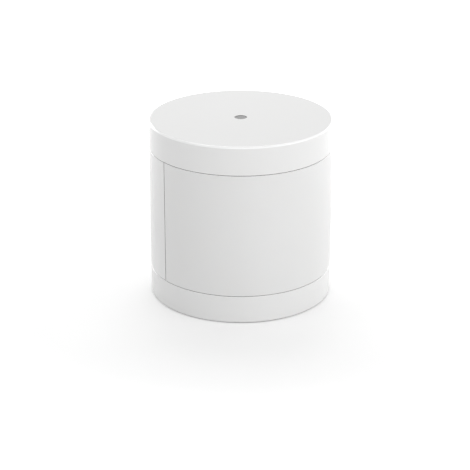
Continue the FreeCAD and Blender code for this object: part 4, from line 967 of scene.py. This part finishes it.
def make_aluminium():
    """Drawn aluminium: soft bright grey, brushed round by the draw, with a printed dark segment
    on the top that marks the minus side."""
    material = worked_metal(
        "drawn_aluminium", (aluminium_bright, aluminium_dark), line=0.12, stretch=(1, 8, 1), rough=(0.26, 0.4))
    tree = material.node_tree
    colour = tree.nodes["Principled BSDF"].inputs["Base Color"]
    metal = colour.links[0].from_node
    coordinates = add_node(tree, "TexCoord")
    front = add_node(tree, "SeparateXYZ", {0: coordinates.outputs["Normal"]}).outputs["Y"]
    on_top = add_node(tree, "MapRange", {"Value": front, "From Min": -0.9, "From Max": -0.99})
    beyond = mask_above(tree, coordinates.outputs["Object"], "X", can_high.x - 1.1)
    mark = add_node(tree, "Math", {0: on_top, 1: beyond}, operation="MULTIPLY")
    add_node(tree, "Mix", {"Factor": mark, "A": metal, "B": mark_dark}, colour, data_type="RGBA")
    return material


reservoir_radius = (can_high.x - can_low.x) / 2
reservoir_place = ((can_low.x + can_high.x) / 2, board_face, can_level)
drum = reservoir_radius - 0.1
tall = board_face - can_low.y
drawn = bmesh.new()
add_turned(drawn, eased([
    (0, base_depth - 0.1, 0), (drum, base_depth - 0.1, 0.15), (drum, 1.1, 0.1), (drum - 0.2, 1.25, 0.1),
    (drum - 0.2, 1.4, 0.1), (drum, 1.55, 0.1), (drum, tall, 0.3), (0, tall, 0)]),
    reservoir_place, facing_front=True, steps=72)
score = bmesh.new()
add_cross(score, score_span, score_width, tall - 0.1, tall + 1)
score.transform(Matrix.Translation(reservoir_place) @ Matrix.Rotation(math.pi / 2, 4, "X"))
drawn = cut_from(drawn, score)
half = reservoir_radius - 0.05
add_block(drawn, (reservoir_place[0] - half, board_face - base_depth, can_level - half), (
    reservoir_place[0] + half, board_face, can_level + half), ease=0.2, finish=1)
finished(
    drawn, "drawn_reservoir_can", [make_aluminium(), chip_epoxy], ["reservoir_capacitor"])

# Temperature sensor: a bead of thermistor ceramic dipped in epoxy, standing off the board beside
# the sensor, where the case's warmth reaches it last.

bead_green = "#2F4A3F"
bead_dark = "#263C33"

bead_radius = (bead_high.x - bead_low.x) / 2
bead_tall = board_face - bead_low.y
bead_place = ((bead_low.x + bead_high.x) / 2, board_face, (bead_low.z + bead_high.z) / 2)
shape = bmesh.new()
add_turned(shape, eased([
    (0, 0, 0), (bead_radius * 0.75, 0, 0), (bead_radius, 0.5, 0.3), (bead_radius, bead_tall, bead_radius * 0.9),
    (0, bead_tall, 0)], bends=10), bead_place, facing_front=True, steps=48)
# Dipped epoxy: glossy dark green, a little wavy from its own flow.
dipped_epoxy = moulded(
    "dipped_epoxy", (bead_green, bead_dark), grain=0.6, depth=0.02, rough=(0.15, 0.25), patch=0.5, IOR=1.55,
    Coat_Weight=0.3, Coat_Roughness=0.08)
finished(shape, "dipped_thermistor", [dipped_epoxy], ["thermistor"])

# Antenna: enamelled copper wire, wound in the air and soldered behind the board's left edge,
# as far from the battery as it goes.

copper_bright = "#C87F52"
copper_dark = "#A8603A"
enamel_amber = "#F0C79A"

# Copper under clear enamel: warm metal with an amber coat that pools a little.
enamelled_copper = worked_metal(
    "enamelled_copper", (copper_bright, copper_dark), line=0.3, stretch=(1, 1, 1), rough=(0.22, 0.32),
    Coat_Weight=0.6, Coat_Roughness=0.08, Coat_Tint=enamel_amber)
dress(enamelled_copper, "antenna_coil")

# Tamper switch: a small push switch behind the board's right edge. Its black case guides an
# acetal plunger that the cam in the housing holds in, until the sleeve is turned.

polyester_black = "#303235"
polyester_grey = "#3B3D40"
acetal_white = "#E6E4DC"
acetal_shade = "#DAD7CC"
tongue = 0.2
switch_face_wall = 0.6
slot_fit = 0.1

# Filled polyester: smooth black with a soft gloss, and paler where the mould's gate was.
polyester = moulded(
    "black_polyester", (polyester_black, polyester_grey), grain=0.2, depth=0.003, rough=(0.34, 0.46), patch=1.5,
    IOR=1.57)
# Uncoloured acetal: a waxy warm white that light goes into.
acetal = moulded(
    "natural_acetal", (acetal_white, acetal_shade), grain=0.3, depth=0.002, rough=(0.3, 0.4), patch=1,
    IOR=1.48, Subsurface_Weight=0.2, Subsurface_Scale=0.5 * MM)
tamper_low, tamper_high = sides("tamper_switch")
pin_low, pin_high = sides("tamper_plunger")
lip = 0.2
case = bmesh.new()
add_block(case, (tamper_low.x, tamper_low.y, tamper_low.z + tongue), (
    tamper_high.x, tamper_high.y, tamper_high.z - tongue), ease=0.15)
chamber = bmesh.new()
add_block(chamber, (pin_low.x - 0.6, pin_low.y - slot_fit, pin_low.z - slot_fit), (
    tamper_high.x - switch_face_wall, pin_high.y + slot_fit, pin_high.z + slot_fit))
slot = bmesh.new()
add_block(slot, (tamper_high.x - switch_face_wall - 0.1, pin_low.y + lip - slot_fit, pin_low.z + lip - slot_fit), (
    tamper_high.x + 1, pin_high.y - lip + slot_fit, pin_high.z - lip + slot_fit))
shape = cut_from(cut_from(case, chamber), slot)
for foot in (tamper_low.z, tamper_high.z - tongue):
    add_block(shape, (tamper_low.x + 0.6, tamper_low.y, foot), (
        tamper_low.x + 1.4, tamper_high.y - 0.8, foot + tongue), ease=0.04, finish=1)
    add_block(shape, (tamper_high.x - 1.6, tamper_low.y, foot), (
        tamper_high.x - 0.8, tamper_high.y - 0.8, foot + tongue), ease=0.04, finish=1)
finished(shape, "tamper_switch_case", [polyester, solder_tin], ["tamper_switch"])

shape = bmesh.new()
add_block(shape, (pin_low.x + 0.1, pin_low.y + lip, pin_low.z + lip), (
    pin_high.x, pin_high.y - lip, pin_high.z - lip), ease=0.3, bends=5)
add_block(shape, pin_low, (pin_low.x + 0.6, pin_high.y, pin_high.z), ease=0.06)
finished(shape, "acetal_plunger", [acetal], ["tamper_plunger"], body="tamper_pin")

# Pairing switch: a tact switch below the sensor. A sheet steel cover holds the acetal button in
# its black base, and four heat-formed rivets hold the cover.

cover_bright = "#C3C5C7"
cover_dark = "#A5A8AB"
cover_sheet = 0.25
rivet_radius = 0.35
rivet_height = 0.15
button_hole = 1.1
button_chamber = 1.5

key_level = (key_low.z + key_high.z) / 2
stem_low, stem_high = sides("pairing_button")
key_tall = board_face - key_low.y
cover_top = key_tall - rivet_height
cover_foot = cover_top - cover_sheet
base = bmesh.new()
add_block(base, (key_low.x, board_face - cover_foot, key_low.z), (key_high.x, board_face, key_high.z), ease=0.12)
well = bmesh.new()
add_turned(
    well, [(0, 0.5), (button_chamber, 0.5), (button_chamber, 3), (0, 3)], (0, board_face, key_level), True, 64)
cover = bmesh.new()
add_block(cover, (key_low.x + 0.1, board_face - cover_top, key_low.z + 0.1), (
    key_high.x - 0.1, board_face - cover_foot, key_high.z - 0.1), ease=0.07, finish=1)
hole = bmesh.new()
add_turned(
    hole, [(0, 0.5), (button_hole, 0.5), (button_hole, 3), (0, 3)], (0, board_face, key_level), True, 64)
shape = cut_from(base, well)
steel_cover = cut_from(cover, hole)
shape.from_mesh(as_mesh(steel_cover))
for across in (-1, 1):
    for rise in (-1, 1):
        add_turned(shape, eased([
            (0, cover_top - 0.1, 0), (rivet_radius, cover_top - 0.1, 0), (rivet_radius, key_tall, 0.12),
            (0, key_tall, 0)]), (across * 1.75, board_face, key_level + rise * 1.75), True, 24)
# Zinc on rolled steel, thinner and smoother than the plate's.
cover_steel = worked_metal(
    "rolled_cover_steel", (cover_bright, cover_dark), line=0.15, stretch=(8, 1, 1), rough=(0.22, 0.36), patch=3.5)
finished(shape, "riveted_pairing_switch", [polyester, cover_steel], ["pairing_switch"])

stem_foot = board_face - stem_high.y
stem_top = board_face - stem_low.y
stem_radius = 1.0
shape = bmesh.new()
add_turned(shape, eased([
    (0, stem_foot, 0), (stem_high.x, stem_foot, 0.05), (stem_high.x, stem_foot + 0.35, 0.05),
    (stem_radius, stem_foot + 0.35, 0), (stem_radius, stem_top, 0.2), (0.5, stem_top, 0.1),
    (0.35, stem_top - 0.08, 0.1), (0, stem_top - 0.08, 0)]), (0, board_face, key_level), True, 64)
finished(shape, "acetal_button", [acetal], ["pairing_button"], body="button")

# Rear housing: the half of the case's wall behind the lens, with the sleeve's three bayonet lugs
# inside. It is moulded in the same white ABS as the cup, and holds the lens and the cap.

dress(white_abs, "rear_housing")

# Lens: the front half of the wall, moulded in polyethylene that lets body heat through. Its
# facets are on the inside, so the front is as smooth as the case, and four tabs clip it in.

lens_white = "#E8E8E8"
lens_deep = "#E5E5E4"

# Thin high-density polyethylene, moulded milky so that heat passes and sight doesn't: light goes
# a little way in, which softens its shading, and its gloss is a shade duller than ABS.
# Its half-up edges get the same painted highlight, and its gaps the same painted shade.
lens_polyethylene = moulded(
    "moulded_polyethylene", (lens_white, lens_deep), grain=0.5, depth=0.0018, rough=(0.29, 0.36),
    edge=painted_highlight_white, gap_shade=painted_seam_shade, IOR=1.54,
    Subsurface_Weight=0.1, Subsurface_Scale=0.6 * MM, Subsurface_Radius=(1, 0.9, 0.8))
dress(lens_polyethylene, "fresnel_lens")

# Top cap: the lid, moulded in white ABS with a rounded shoulder round a flat disc. Its spigot
# snaps into the housing, and the hole in its middle holds the light pipe.

# The same ABS, whose shoulder has a clear coat and a painted highlight in a whiter colour: together they draw a bright
# line round the disc.
capped_abs = moulded(
    "moulded_white_abs_cap", (case_white, case_warm), grain=0.45, depth=0.0022, rough=(0.19, 0.26),
    edge=painted_highlight_white, polish=1, gap_shade=painted_seam_shade, IOR=1.53)
dress(capped_abs, "top_cap")

# Light pipe: a short rod of smoke-tinted polycarbonate pressed into the cap, which brings the
# status lamp's light to the top. Its upper face lies 0.1 mm below the disc.

pipe_smoke = "#949494"
pipe_deep = "#848484"

# Polycarbonate with a smoke tint, polished on top: light goes in a little and comes back grey,
# under a clear gloss.
smoked_polycarbonate = moulded(
    "smoked_polycarbonate", (pipe_smoke, pipe_deep), grain=0.3, depth=0.001, rough=(0.06, 0.14), patch=1.2,
    IOR=1.585, Subsurface_Weight=0.4, Subsurface_Scale=0.8 * MM, Subsurface_Radius=(1, 1, 1))
dress(smoked_polycarbonate, "light_pipe")

# Studio: the case stands on pale paper in an even white room. Low soft boxes at the front and
# the right shade its wall, two behind light its edges, and two above draw the rim.

case_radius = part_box("base_cup")[1].x
case_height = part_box("top_cap")[1].z
ambient_level = 0.5
floor_colour = "#E8E8E8"
floor_glow = 0.25
glow_start = 2.5 * case_radius
glow_end = 9 * case_radius
picture_side = 470
sensor_side = 36
focal_length = 1662
axis_column = 240.99
camera_azimuth = math.radians(-35.2)
camera_distance = 17.19 * case_radius
camera_rise = 7.606 * case_radius
camera_pitch = math.radians(22.119)


def seen_directly(tree):
    """1 for rays that look at a surface straight, in a gloss or through glass."""
    path = add_node(tree, "LightPath")
    shown = path.outputs["Is Camera Ray"]
    for kind in ("Is Glossy Ray", "Is Transmission Ray"):
        shown = add_node(tree, "Math", {0: shown, 1: path.outputs[kind]}, operation="MAXIMUM")
    return shown


def make_surround():
    """A white room that is seen at full white and lights the object more softly."""
    world = bpy.data.worlds.new("white_surround")
    world.use_nodes = True
    tree = world.node_tree
    tree.nodes.clear()
    strength = add_node(tree, "MapRange", {"Value": seen_directly(tree), "To Min": ambient_level, "To Max": 1})
    room = add_node(tree, "Background", {"Color": (1, 1, 1, 1), "Strength": strength})
    add_node(tree, "OutputWorld", {"Surface": room})
    bpy.context.scene.world = world


def make_floor():
    """White paper under the object: it keeps a soft shadow and goes over into the backdrop."""
    shape = bmesh.new()
    bmesh.ops.create_grid(shape, x_segments=4, y_segments=4, size=100 * case_radius)
    mesh = bpy.data.meshes.new("studio_floor")
    shape.to_mesh(mesh)
    shape.free()
    material, tree, shader, place = new_finish(
        "floor_paper", Base_Color=floor_colour, Roughness=0.9, Specular_IOR_Level=0.1, Emission_Color=(1, 1, 1, 1))
    away = add_node(tree, "VectorMath", {0: place}, operation="LENGTH").outputs["Value"]
    spread = {"Value": away, "From Min": glow_start, "From Max": glow_end, "To Min": floor_glow, "To Max": 1}
    glow = {0: add_node(tree, "MapRange", spread), 1: seen_directly(tree)}
    add_node(tree, "Math", glow, shader.inputs["Emission Strength"], operation="MULTIPLY")
    mesh.materials.append(material)
    floor = bpy.data.objects.new("studio_floor", mesh)
    bpy.context.scene.collection.objects.link(floor)


def soft_box(name, azimuth, elevation, distance, side, power):
    """A square soft lamp that faces the case's middle, at an azimuth from the camera's own."""
    lamp = bpy.data.lights.new(name, "AREA")
    lamp.size = side
    lamp.energy = power
    turn = math.radians(azimuth) + camera_azimuth
    rise = math.radians(elevation)
    away = Vector((math.sin(turn) * math.cos(rise), -math.cos(turn) * math.cos(rise), math.sin(rise)))
    holder = bpy.data.objects.new(name, lamp)
    holder.location = away * distance + Vector((0, 0, case_height / 2))
    holder.rotation_euler = away.to_track_quat("Z", "Y").to_euler()
    bpy.context.scene.collection.objects.link(holder)


def make_camera():
    """The camera of the picture: it looks down on the front left of the case."""
    lens = bpy.data.cameras.new("picture_camera")
    lens.sensor_width = sensor_side
    lens.lens = focal_length / picture_side * sensor_side
    camera = bpy.data.objects.new("picture_camera", lens)
    camera.location = (
        math.sin(camera_azimuth) * camera_distance, -math.cos(camera_azimuth) * camera_distance, camera_rise)
    aside = math.atan((axis_column - picture_side / 2) / focal_length)
    camera.rotation_euler = (math.pi / 2 - camera_pitch, 0, camera_azimuth + aside)
    bpy.context.scene.collection.objects.link(camera)
    bpy.context.scene.camera = camera


make_surround()
make_floor()
soft_box("right_low_box", azimuth=65, elevation=8, distance=0.5, side=0.45, power=0.9)
soft_box("front_low_box", azimuth=5, elevation=15, distance=0.5, side=0.4, power=0.6)
soft_box("left_edge_box", azimuth=-138, elevation=5, distance=0.4, side=0.25, power=0.48)
soft_box("right_edge_box", azimuth=130, elevation=5, distance=0.4, side=0.25, power=0.5)
soft_box("back_top_box", azimuth=180, elevation=60, distance=0.4, side=0.2, power=0.44)
soft_box("top_left_box", azimuth=-70, elevation=56, distance=0.4, side=0.16, power=0.12)
make_camera()
bpy.context.scene.view_settings.view_transform = "Standard"
